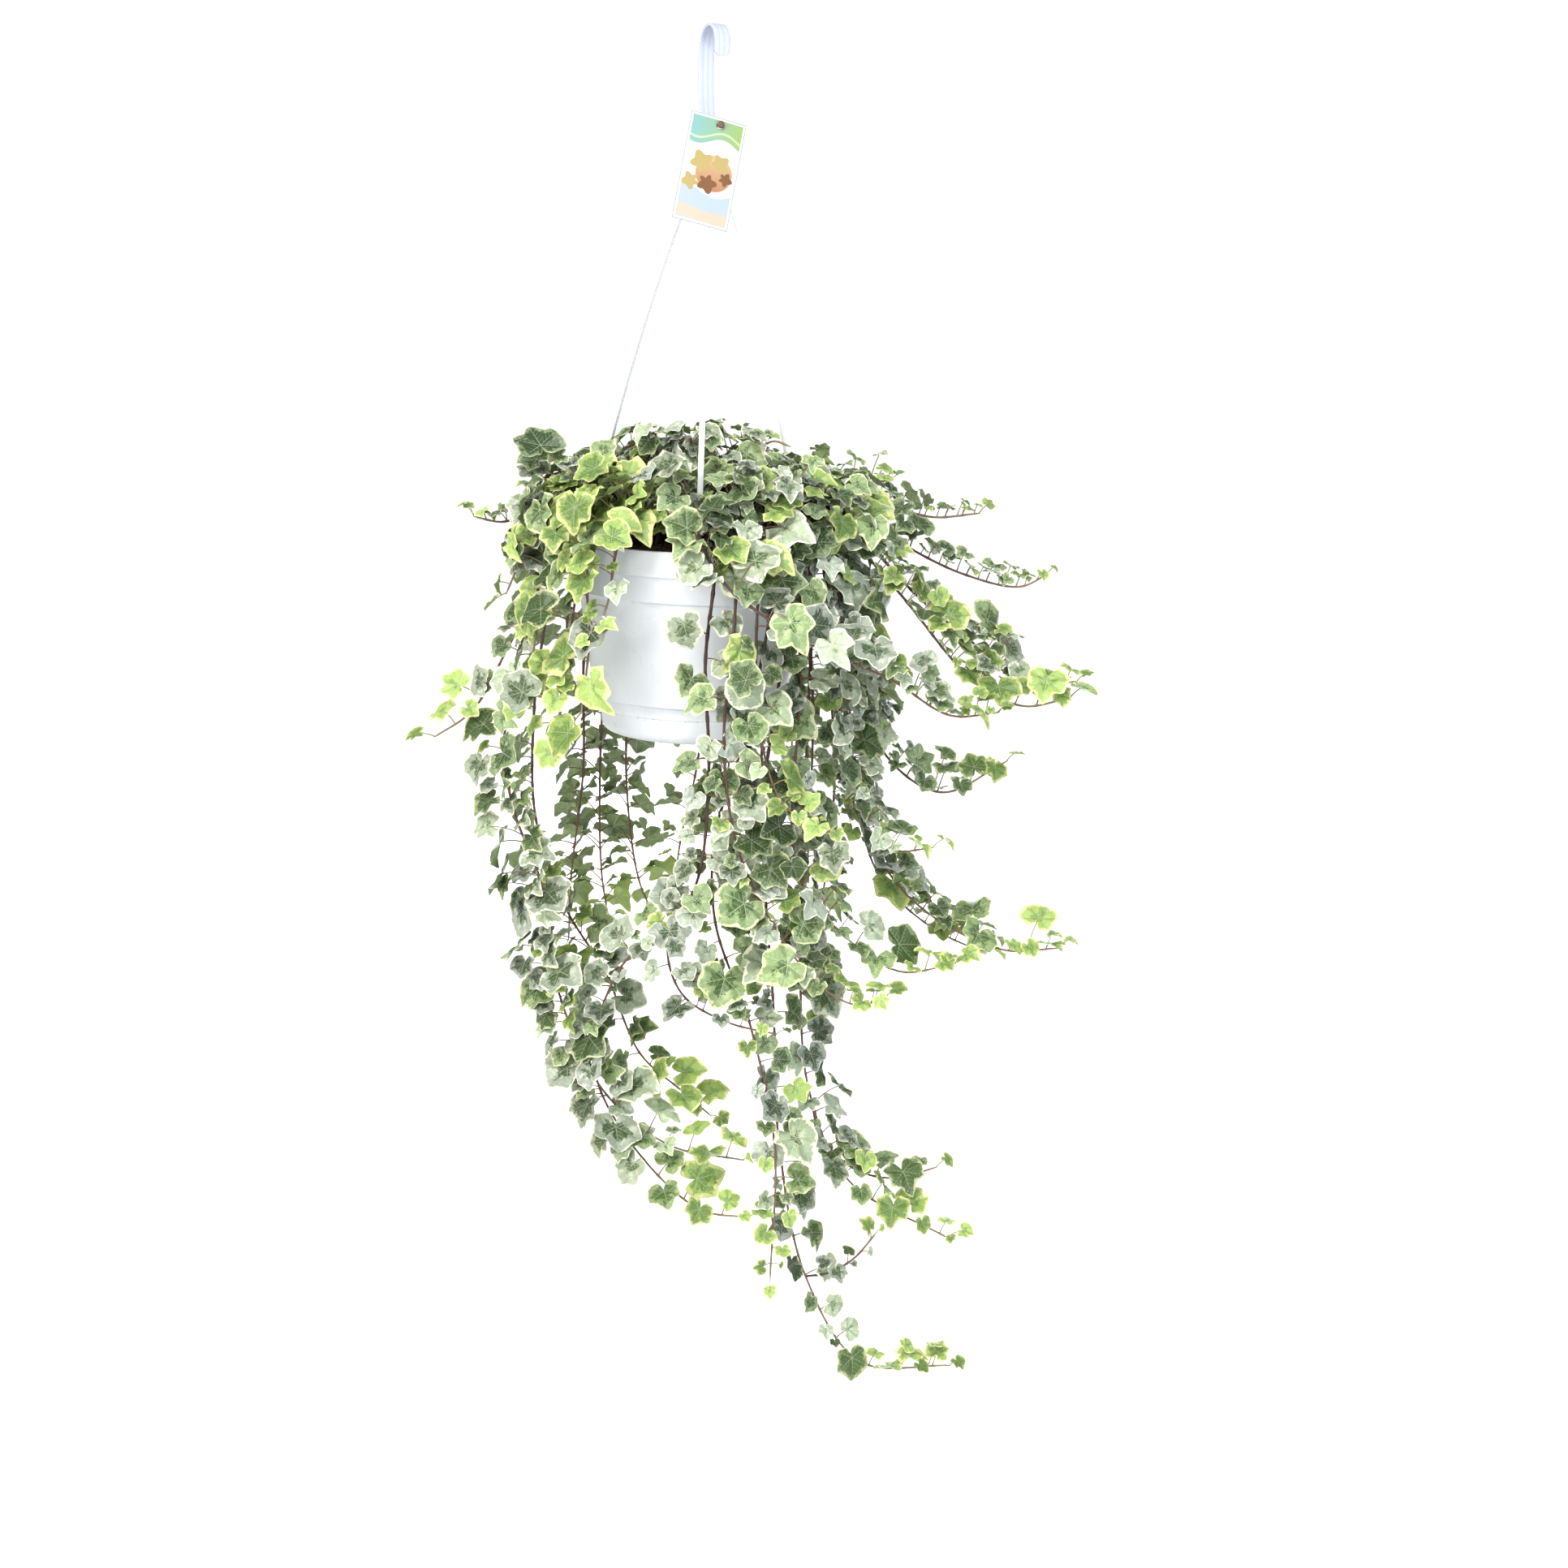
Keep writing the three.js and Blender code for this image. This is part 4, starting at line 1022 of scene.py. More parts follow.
def tubes(paths: Array, radii: Array, sides: int) -> tuple[Array, list[Array]]:
    """Makes a closed round tube along each path.

    Each ring is the path's point plus the radius times cosine and sine of the angle along two normals.
    The first normal is level, and it is carried by projection from ring to ring.

    Args:
        paths: points by tube and ring.
        radii: the radius by tube and ring.
        sides: how many sides the tubes have.

    Returns:
        The points and the faces.
    """
    count, rings = paths.shape[:2]
    tangent = unit(np.gradient(paths, axis=1))
    # Slightly off upright, so that an upright path has a first normal too
    normals = [unit(np.cross(tangent[:, 0], UP + 0.01))]
    for i in range(1, rings):
        normals.append(unit(normals[-1] - dot(normals[-1], tangent[:, i]) * tangent[:, i]))
    normal = np.stack(normals, axis=1)
    other = np.cross(tangent, normal)
    angle = np.linspace(0, 2 * math.pi, sides, endpoint=False)[:, None]
    ring = np.cos(angle) * normal[:, :, None] + np.sin(angle) * other[:, :, None]
    points = paths[:, :, None] + ring * radii[:, :, None, None]
    total = rings * sides
    points = np.concatenate([points.reshape(count, total, 3), paths[:, :1], paths[:, -1:]], axis=1)
    faces = [ring_quads(rings, sides), fan(total, 0, sides, True),
             fan(total + 1, total - sides, sides, False)]
    return points.reshape(-1, 3), copies(faces, count, total + 2)


class Canopy:
    """Where leaves already are, so that the next ones lie clear of them, of the pot and of the hanger."""

    # The pot's outline with a little room: radius and depth below the rim
    POT = np.array([(137, -1), (137, 30), (133, 58), (128, 60), (109, 171), (101, 175), (101, 213)])
    # The ceiling over the pot: its height above the rim, how it falls with the radius squared, its reach
    CEILING, FALL, CEILING_REACH = 142, 0.0025, 150
    # The pattern angles of the coarse outline
    EDGES = np.radians([0, 33, 60, 92, 124, 165, -165, -124, -92, -60, -33])
    # The part of a segment whose crossings count, as leaves may touch at an edge
    COUNTED = (0.03, 0.97)
    # What a point in a place that is kept clear costs, where a crossing costs 1
    FORBIDDEN = 40

    def __init__(self, obstacles: list[tuple[Array, float]]) -> None:
        """Starts with no leaves.

        Args:
            obstacles: paths that leaves keep clear of, each with its distance.
        """
        self.obstacles = obstacles
        # Leaves may stand out of the construction's box by a share of its sides and a little
        low, high = (np.array(corner) / MM for corner in CAD_BOX)
        spare = 0.022 * (high - low) + 8
        self.room = low - spare, high + spare
        self.centres = np.zeros((0, 3))
        self.sizes = np.zeros(0)
        self.rims = np.zeros((0, len(self.EDGES), 3))
        self.blade = Blade()

    def _rims(self, leaves: Leaves) -> Array:
        """Gives a coarse outline of each leaf."""
        return self.blade.points(leaves, self.EDGES, np.array([1.0]))[0][:, 0]

    def _crossings(self, centre: Array, rim: Array, size: float) -> int:
        """Counts how often one leaf's rays and rim cross its neighbours' blades, and the reverse.

        Args:
            centre: where the blade starts.
            rim: its coarse outline.
            size: its size.

        Returns:
            The number of crossings.
        """
        near = np.linalg.norm(self.centres - centre, axis=1) < self.sizes + size
        if not near.any():
            return 0
        rims, centres = self.rims[near], self.centres[near]
        following = np.roll(rim, -1, axis=0)
        own_from = np.concatenate([np.broadcast_to(centre, rim.shape), rim])
        own_to = np.concatenate([rim, following])
        beyond = np.roll(rims, -1, axis=1)
        middles = np.broadcast_to(centres[:, None], rims.shape)
        first = self._hits(own_from, own_to, middles.reshape(-1, 3), rims.reshape(-1, 3),
                           beyond.reshape(-1, 3))
        starts = np.concatenate([middles, rims], axis=1).reshape(-1, 3)
        stops = np.concatenate([rims, beyond], axis=1).reshape(-1, 3)
        return first + self._hits(starts, stops, np.broadcast_to(centre, rim.shape), rim, following)

    @staticmethod
    def _hits(start: Array, stop: Array, a: Array, b: Array, c: Array) -> int:
        """Counts the segments that pass through triangles, by solving start + t way = a + u ab + v ac.

        Args:
            start: where the segments start.
            stop: where they end.
            a: the triangles' first corners.
            b: their second corners.
            c: their third corners.

        Returns:
            The number of crossings.
        """
        way = (stop - start)[:, None]
        ab, ac = (b - a)[None], (c - a)[None]
        crossed = np.cross(way, ac)
        scale = np.sum(ab * crossed, axis=-1)
        scale = np.where(np.abs(scale) < 1e-9, np.inf, scale)
        reach = start[:, None] - a[None]
        u = np.sum(reach * crossed, axis=-1) / scale
        turned = np.cross(reach, ab)
        v = np.sum(way * turned, axis=-1) / scale
        t = np.sum(ac * turned, axis=-1) / scale
        within = (t > Canopy.COUNTED[0]) & (t < Canopy.COUNTED[1])
        return int(np.sum((u > 0) & (v > 0) & (u + v < 1) & within))

    def _inside(self, points: Array) -> int:
        """Counts points inside the pot, out of the room, over the ceiling or near what is kept clear."""
        depth = RIM - points[:, 2]
        radius = np.hypot(points[:, 0], points[:, 1])
        wall = np.interp(depth, self.POT[:, 1], self.POT[:, 0])
        count = int(np.sum((depth > self.POT[0, 1]) & (depth < self.POT[-1, 1]) & (radius < wall)))
        count += int(np.sum((points < self.room[0]) | (points > self.room[1])))
        ceiling = RIM + self.CEILING - self.FALL * radius**2
        count += int(np.sum((points[:, 2] > ceiling) & (radius < self.CEILING_REACH)))
        for path, distance in self.obstacles:
            gaps = np.linalg.norm(points[:, None] - path[None], axis=-1)
            count += int(np.sum(gaps.min(axis=1) < distance))
        return count

    def place(self, choices: list[Leaves]) -> Leaves:
        """Takes for each leaf the first choice that is clear, or the one with the fewest crossings.

        Args:
            choices: the same leaves in several positions each.

        Returns:
            The leaves that found a place. One that would stand in the pot or the hanger is left out.
        """
        rims = [self._rims(choice) for choice in choices]
        kept = []
        for i in range(len(choices[0])):
            best, least = 0, math.inf
            for number, choice in enumerate(choices):
                centre, rim, size = choice.base[i], rims[number][i], choice.size[i]
                body = np.concatenate([rim, (rim + centre) / 2, centre[None]])
                cost = self.FORBIDDEN * self._inside(body)
                if cost < least:
                    cost += self._crossings(centre, rim, size)
                if cost < least:
                    best, least = number, cost
                if cost == 0:
                    break
            if least >= self.FORBIDDEN:
                continue
            kept.append(choices[best].pick(np.array([i])))
            self.centres = np.concatenate([self.centres, choices[best].base[i][None]])
            self.sizes = np.append(self.sizes, choices[best].size[i])
            self.rims = np.concatenate([self.rims, rims[best][i][None]])
        return Leaves.joined(kept)


@dataclass
class Stem:
    """One stem: its curve, its number in the draws, its leaf size, and its root and tip radii."""

    curve: StemCurve
    number: int
    leaf: float
    radii: tuple[float, float]
    straight: float
    tone: Tone
    tip: float = 0.6
    fresh: float = 0.7
    spacing: float = 21.5

    # What a draw is for, as the channel number
    SIZE, STALK, ACROSS, ALONG, TURN, SPACING, LOOK, KIND, PAIR, SKIN = range(6, 16)
    # The largest leaf, and the lengths beside the first and the last leaf of the row
    LARGEST, FIRST, LAST = 32, 16, 8
    # Depths below the rim: the crown's, those of the pot's wall, the arch's, those of the low growth at
    # the left, and where the thin ends start
    CROWN, WALL, ARCH, MASS, ENDS = 12, (15, 230), 170, (360, 600), 360
    # The shares of grey leaves, and of grey and green ones, by the vine's tone. The rest is lime
    MIXES = {GREY: (0.66, 0.95), GREEN: (0.3, 0.87), LIME: (0.06, 0.22)}
    # Where the light comes from that the leaves turn to
    LIGHT = np.array([-0.4, -0.9, 0.15])
    # Beside a leaf: how far on the second companion stands, and what the two add to its number in the draws
    AHEAD, SECOND, THIRD = 14, 300, 600

    def _draw(self, station: Array, channel: int) -> Array:
        """Gives the stem's own draws."""
        return draw(self.number, station, channel)

    def stations(self) -> Array:
        """Gives the distances along the stem where leaves grow, each a drawn step from the last."""
        count = int(self.curve.length / self.spacing * 1.6) + 2
        steps = self.spacing * (0.8 + 0.4 * self._draw(np.arange(1, count), self.SPACING))
        along = self.straight + self.FIRST + np.concatenate([[0], np.cumsum(steps)])
        return along[along < self.curve.length - self.LAST]

    def leaves(self, along: Array, station: Array, side: Array, share: Array,
               variation: int = 0) -> Leaves:
        """Places leaves at distances along the stem.

        The blade faces up and outwards, more upwards in the crown. The stalk leaves the stem sideways,
        and the midrib points sideways and down, or outwards in the crown, then each is tilted a little.

        Args:
            along: distances along the stem.
            station: the leaves' numbers in the draws.
            side: which side each leaf is on, 1 or -1, or 0 at the tip.
            share: the size as a share of the rule's size.
            variation: which try this is. Each draws another stalk length and tilt.

        Returns:
            The leaves.
        """
        salt = station + 500 * variation
        point, tangent = self.curve.point(along), self.curve.tangent(along)
        level = dot(tangent[:, :2], tangent[:, :2])
        crown = np.clip((point[:, 2:] - RIM + 20) / 80, 0, 1)
        radial = unit(point * [1, 1, 0])
        behind = point[:, 1:2] > 90
        outward = np.clip(0.8 - 0.45 * crown - 0.5 * level - 0.3 * behind, 0.2, 1)
        facing = radial * outward + UP * (0.6 + 0.4 * np.maximum(crown, level))
        facing = unit(facing + self.LIGHT * np.where(behind, 0, 0.38 - 0.08 * crown))
        beside = unit(np.cross(tangent, facing))
        tip = side[:, None] == 0
        aside = beside * np.where(tip, 0.2, side[:, None])
        look = self._draw(station, self.LOOK)
        taper = np.minimum(1, self.tip + (self.curve.length - along) / 190)
        size = self.leaf * (0.7 + 0.5 * (self._draw(station, self.SIZE) - 0.5) + 0.42 * (look > 0.92))
        # Low leaves are larger, but the lowest at the right are small
        low, lowest = (np.clip((RIM - depth - point[:, 2]) / 150, 0, 1) for depth in (200, 400))
        size = size * (1 + 0.16 * low - 0.22 * lowest * (point[:, 0] > 20))
        size = np.minimum(size, self.LARGEST) * taper * share
        stalk = tangent * np.where(tip, 1, 0.3) + 0.75 * aside + 0.5 * level * UP
        stalk = unit(stalk + (0.5 + 0.3 * variation) * facing)
        rise = 1 + 0.25 * variation + (0.45 if self.number in UPPER_SHOOTS else 0)
        reach = (9 + size * (0.3 + 0.45 * self._draw(salt, self.STALK))) * rise
        base = point + stalk * reach[:, None]
        across, forward, turn = (self._draw(salt, channel)[:, None] - 0.5
                                 for channel in (self.ACROSS, self.ALONG, self.TURN))
        normal = unit(facing + beside * (1.35 * across) + tangent * (1.1 * forward))
        midrib = 0.55 * aside + 0.4 * stalk - 0.75 * (1 - crown) * (1 - level) * UP
        midrib = midrib + 0.55 * crown * radial + 0.3 * level * tangent
        midrib = unit(midrib - dot(midrib, normal) * normal)
        turn = (1.4 + 0.4 * variation) * turn
        midrib = midrib * np.cos(turn) + np.cross(normal, midrib) * np.sin(turn)
        newest = np.clip((along / self.curve.length - self.fresh) / (1 - self.fresh), 0, 1)
        drawn = self._draw(station, self.SKIN)
        # Only what hangs low on a lime vine is lime, at the right lower still
        high = (self.tone is LIME) & (point[:, 2] > RIM + 45 - 0.4 * np.clip(point[:, 0], 0, 150))
        green, own = (np.searchsorted(self.MIXES[tone], drawn) for tone in (GREEN, self.tone))
        skin = np.where(high, green, own)
        skin = np.where(newest > 0.6, 2, skin)
        youth = np.where(skin == 2, 0.35 + 0.45 * look, 0.25 * look) + 0.4 * newest
        nature = np.stack([np.clip(youth, 0, 1), look, self._draw(station, self.KIND)], axis=1)
        return Leaves(point, base, midrib, np.cross(normal, midrib), normal, size, nature, skin)

    def choices(self, variations: int = 6) -> list[Leaves]:
        """Gives all the stem's leaves in several positions, from the tip down, with the companions.

        A leaf may have a smaller companion across the stem from it, and another further on.

        Args:
            variations: how many positions there are to choose from.

        Returns:
            The same leaves in each position.
        """
        along = self.stations()
        station = np.arange(1, len(along) + 1)
        side = np.where(station % 2 == 0, 1, -1)
        x, y, z = self.curve.point(along).T
        depth = RIM - z
        in_crown = depth < self.CROWN
        chance = self._draw(station, self.PAIR)
        # The pot shows through the stems in front of it. At its left only the lime ones are full
        sparse = ((x < -100) & (self.tone is not LIME)) | ((y < -95) & (x > -70))
        sparse &= (depth > self.WALL[0]) & (depth < self.WALL[1])
        # Growth is thick over the rim, where the stems arch out to the right and low at the left, and
        # thin at the lowest ends
        arched = (x > 150) & (x < 350) & (depth < self.ARCH)
        mass = (x < -70) & (depth > self.MASS[0]) & (depth < self.MASS[1])
        thick = in_crown | arched | mass
        thin = np.clip((depth - self.ENDS) / 150, 0, 1) * (x > -110)
        paired = thick | ((chance > 0.45 + 0.42 * thin) & ~sparse)
        between = thick | ((chance < 0.45 - 0.36 * thin) & ~sparse & (self.tone is not LIME))
        kept = ~sparse | (chance > 0.2)
        second = np.where(in_crown, 0.75, 0.6)[paired]
        third = np.where(in_crown, 0.8, 0.7)[between]
        end = self.curve.length - 1.5
        along = np.concatenate([[end], along[kept], along[paired], along[between] + self.AHEAD])
        station = np.concatenate([[0], station[kept], station[paired] + self.SECOND,
                                  station[between] + self.THIRD])
        side = np.concatenate([[0], side[kept], -side[paired], -side[between]])
        share = np.concatenate([np.ones(1 + kept.sum()), second, third])
        order = np.argsort(-along)
        parts = [value[order] for value in (along, station, side, share)]
        return [self.leaves(*parts, variation) for variation in range(variations)]

    def wood(self, surface: Surface, material: int) -> None:
        """Adds the stem: a tube that tapers to the tip and swells at each leaf, with a ring each 5 mm.

        Args:
            surface: what the tube is added to.
            material: the number of the bark's material.
        """
        rings = max(int(self.curve.length / 5), 12)
        along = np.linspace(0, self.curve.length, rings + 1)
        nodes = self.stations()
        gap = np.min(np.abs(along[:, None] - nodes[None]), axis=1) if len(nodes) else along + 99
        radii = np.interp(along, [0, self.curve.length], self.radii)
        radii = radii * (1 + 0.35 * np.exp(-(gap / 3) ** 2))
        radii[-1] *= 0.5
        points, faces = tubes(self.curve.point(along)[None], radii[None], 8)
        share = np.append(np.repeat(along / self.curve.length, 8), [0, 1])
        youth = np.clip((share - 0.7) / 0.3, 0, 1) * (0.9 if self.tone is LIME else 0.5)
        surface.add(points, faces, material, edge=share, nature=np.outer(youth, [1, 0, 0]))

    def stalks(self, surface: Surface, leaves: Leaves, material: int) -> None:
        """Adds the leaf stalks: quadratic curves that rise from the stem and meet the blades.

        Args:
            surface: what the stalks are added to.
            leaves: the leaves that they bear.
            material: the number of the bark's material.
        """
        gap = leaves.base - leaves.root
        bend = leaves.root + 0.5 * gap + 0.16 * UP * np.linalg.norm(gap, axis=1, keepdims=True)
        paths = quadratic(leaves.root[:, None], bend[:, None], leaves.base[:, None], 6)
        thick = 0.5 + 0.012 * leaves.size[:, None]
        radii = thick * np.array([1.25, 1, 0.9, 0.85, 0.85, 0.8])
        points, faces = tubes(paths, radii, 5)
        youth = np.clip(leaves.nature[:, 0] * 0.8 + 0.15, 0, 1)
        nature = np.repeat(np.outer(youth, [1, 0, 0]), len(points) // len(leaves), axis=0)
        surface.add(points, faces, material, edge=np.full(len(points), 0.85), nature=nature)


@dataclass(frozen=True)
class Vine:
    """A vine: its root's azimuth and radius, its leaf size, its tone, its route and its side branch."""

    root: tuple[float, float]
    leaf: float
    tone: Tone
    route: tuple[tuple[float, float, float], ...]
    branch: tuple[tuple[float, float, float], ...] = ()
    tip: float = 0.6
    fresh: float = 0.8

    def stems(self, number: int) -> list[Stem]:
        """Gives the vine's stems. Each rises from the soil, arches over the rim and takes its route."""
        azimuth, radius = self.root
        out = direction(azimuth)
        route = np.array(self.route, float)
        first = math.hypot(*route[0, :2])
        top = max(38 + 40 * float(draw(number, 0, 1)), route[0, 2] + 16)
        foot = [out * radius + UP * z for z in FOOT_HEIGHTS]
        crest = out * (radius + (first - radius) * 0.55) + UP * top
        curve = StemCurve(np.array([*foot, crest, *route]) + UP * RIM)
        stems = [Stem(curve, number, self.leaf, (2.0, 1.0), STRAIGHT, self.tone, self.tip, self.fresh)]
        if self.branch:
            side = StemCurve(np.array(self.branch, float) + UP * RIM)
            stems.append(Stem(side, number + BRANCHES, self.leaf * 0.85, (1.3, 1.0), 0, self.tone))
        return stems


@dataclass(frozen=True)
class Shoot:
    """A short shoot that fills the middle of the plant, with a lower one beside it, each with its tone."""

    number: int
    tone: Tone
    low_tone: Tone
    leaf: float = 29

    def stems(self) -> list[Stem]:
        """Gives the two stems, which lean outwards at drawn azimuths, reaches and heights."""
        azimuth, radius, reach, height = (float(draw(self.number, 1, channel)) for channel in (2, 3, 4, 5))
        radius, turn = 22 + 12 * radius, 40 * self.number + 20 * azimuth
        upper = (radius, 40 + 55 * reach, 92 + 28 * height)
        lower = (radius, 84 + 16 * height, 42 + 18 * reach)
        return [self._stem(turn, upper, UPPER_SHOOTS[self.number], self.leaf, self.tone),
                self._stem(turn - 12, lower, LOWER_SHOOTS[self.number], 0.86 * self.leaf, self.low_tone)]

    @staticmethod
    def _stem(azimuth: float, sizes: tuple[float, float, float], number: int, leaf: float,
              tone: Tone) -> Stem:
        """Makes one stem, which rises from its foot and levels out at its end.

        Args:
            azimuth: where it leans, in degrees.
            sizes: its foot's radius, its reach and its height.
            number: its number in the draws.
            leaf: its leaf size.
            tone: its leaves' colour.

        Returns:
            The stem.
        """
        radius, reach, height = sizes
        out = direction(azimuth)
        profile = [(radius, z) for z in FOOT_HEIGHTS]
        profile += [(radius + 0.4 * (reach - radius), 0.72 * height), (reach, height)]
        profile += [(reach + 24, height - 4)]
        curve = StemCurve(np.array([out * along + UP * (z + RIM) for along, z in profile]))
        return Stem(curve, number, leaf, (2.0, 1.0), STRAIGHT, tone, 0.7, 0.8)


# The hanging pot and what hangs it

def from_rim(profile: list[tuple[float, float, float]]) -> Array:
    """Turns a profile of radius, depth below the rim and rounding into radius and height pairs."""
    return rounded([(radius, RIM - depth, reach) for radius, depth, reach in profile])


@dataclass
class HangingPot:
    """The pot: a tapered wall with a band and an overhanging skirt, a stepped foot and four drains."""

    rim: float = 135.0
    band: float = 131.0
    wall: float = 1.6
    skirt: float = 27.0
    foot: float = 202.0
    foot_ring: float = 207.9
    drain_circle: float = 50.0
    drain_radius: float = 6.0
    drains: tuple[int, ...] = (45, 135, 225, 315)
    notch_radius: float = 7.0
    notch_depth: float = 212.9
    finish: PlasticFinish = PlasticFinish()

    def profile(self) -> Array:
        """Gives the section, from the middle of the underside, up the outside and down the inside."""
        wall = self.wall
        return from_rim([
            (0, self.foot, 0), (80, self.foot, 0.4), (80, self.foot_ring, 0.6), (84, self.foot_ring, 0.6),
            (84, self.foot, 0.4), (92, self.foot, 1.6), (94, 170, 0.5), (107, 169, 1.5), (126, 56, 0.8),
            (self.band, 54, 0.8), (self.band, 2.2, 0.5), (self.rim - wall, 2.2, 0.5),
            (self.rim - wall, self.skirt, 0.4), (self.rim, self.skirt, 0.6), (self.rim, 0, 1.1),
            (self.band - wall, 0, 1.1), (self.band - wall, 54, 0.8), (126 - wall, 56, 0.8),
            (107 - wall, 169 - wall, 1), (94 - wall, 170 - wall, 0.5), (92 - wall, self.foot - wall, 1.2),
            (0, self.foot - wall, 0),
        ])

    def cutter(self) -> Object:
        """Makes round bars through the floor, and level ones that notch the foot ring by each drain."""
        surface = Surface()
        for azimuth in self.drains:
            out = direction(azimuth)
            drain = out * self.drain_circle + np.outer(np.linspace(-8, 8, 3), UP)
            notch = out * np.linspace(72, 92, 3)[:, None]
            for path, radius, depth in ((drain, self.drain_radius, self.foot),
                                        (notch, self.notch_radius, self.notch_depth)):
                surface.add(*tubes((path + UP * (RIM - depth))[None], np.full((1, 3), radius), 24))
        return surface.build("drain_cutter", [])

    def build(self) -> None:
        """Makes the pot and cuts its drains."""
        pot = Surface(revolve(self.profile(), 180)).build("hanging_pot", [self.finish.material()])
        cutter = self.cutter()
        cut = pot.modifiers.new("drains", "BOOLEAN")
        cut.object = cutter
        graph = bpy.context.evaluated_depsgraph_get()
        mesh = bpy.data.meshes.new_from_object(pot.evaluated_get(graph))
        pot.modifiers.clear()
        pot.data = mesh
        mesh.set_sharp_from_angle(angle=math.radians(40))
        bpy.data.objects.remove(cutter)
        fit(pot, "pot")


@dataclass
class Saucer:
    """The clip-on saucer: a shallow dish with an upright lip and a groove that collects specks."""

    radius: float = 99.0
    top: float = 170.4
    groove: float = 182.0
    depth: float = 210.0
    wall: float = 1.6

    def build(self) -> None:
        """Makes the saucer."""
        radius = self.radius
        profile = from_rim([
            (0, self.depth, 0), (85, self.depth, 3), (93, 207, 2.5), (97, 201, 3), (98.3, 185, 1),
            (97.4, 183, 0.6), (radius, self.groove, 0.6), (radius, self.top, 0.7),
            (radius - self.wall, self.top, 0.7), (radius - 2.6, 200, 3), (90, 208.2, 3), (0, 208.2, 0),
        ])
        finish = PlasticFinish(name="moulded_white_saucer", speck_height=RIM - self.groove - 1.2)
        dish = Surface(revolve(profile, 180)).build("saucer_dish", [finish.material()])
        fit(dish, "saucer")


@dataclass
class PottingSoil:
    """The peat: a closed body inside the pot, with a lumpy top and loose crumbs."""

    radius: float = 129.1
    edge: float = 6.0
    middle: float = -5.0
    crumbs: int = 420
    crumb_size: tuple[float, float] = (1.4, 3.2)

    def height(self, x: Array, y: Array) -> Array:
        """Gives the top: a low dome plus sines of growing pitch and shrinking height."""
        radius = np.hypot(x, y) / self.radius
        dome = -self.middle - (self.edge - self.middle) * radius**2
        lumps = 1.5 * np.sin(x * 0.11 + 1.3 * np.sin(y * 0.07)) * np.sin(y * 0.13 + 0.9)
        lumps += 0.7 * np.sin(x * 0.37 + y * 0.21) * np.sin(y * 0.41 - x * 0.13 + 2)
        lumps += 0.4 * np.sin(x * 0.93 - y * 0.55 + 1) * np.sin(y * 1.07 + x * 0.31)
        return RIM + dome + lumps * (1 - radius**8)

    def build(self) -> None:
        """Makes the body and its crumbs, which are jittered eight-faced grains."""
        body = from_rim([
            (0, 200.1, 0), (90.1, 200.1, 2), (92.1, 169.1, 0.5), (105.1, 167.1, 1), (124.1, 55.7, 0.8),
            (self.radius, 53.7, 0.8), (self.radius, self.edge, 0),
        ])
        radii = np.linspace(self.radius, 0, 60)[1:]
        top = np.stack([radii, np.full(len(radii), RIM)], axis=1)
        points, faces = revolve(np.concatenate([body, top]), 160)
        upper = points[:, 2] > RIM - self.edge - 0.5
        points[upper, 2] = self.height(points[upper, 0], points[upper, 1])
        rng = np.random.default_rng(11)
        reach, turn = 126 * np.sqrt(rng.random(self.crumbs)), rng.random(self.crumbs) * 2 * math.pi
        x, y = reach * np.cos(turn), reach * np.sin(turn)
        places = np.stack([x, y, self.height(x, y) + 0.3], axis=1)
        corners = np.array([(1, 0, 0), (0, 1, 0), (-1, 0, 0), (0, -1, 0), (0, 0, 1), (0, 0, -1)], float)
        sizes = rng.uniform(*self.crumb_size, (self.crumbs, 1, 1))
        grains = places[:, None] + corners * sizes * rng.uniform(0.5, 1, (self.crumbs, 6, 1))
        one = np.concatenate([fan(4, 0, 4, False), fan(5, 0, 4, True)])
        surface = Surface((points, faces), (grains.reshape(-1, 3), copies([one], self.crumbs, 6)))
        fit(surface.build("potting_soil", [PeatFinish().material()]), "soil")


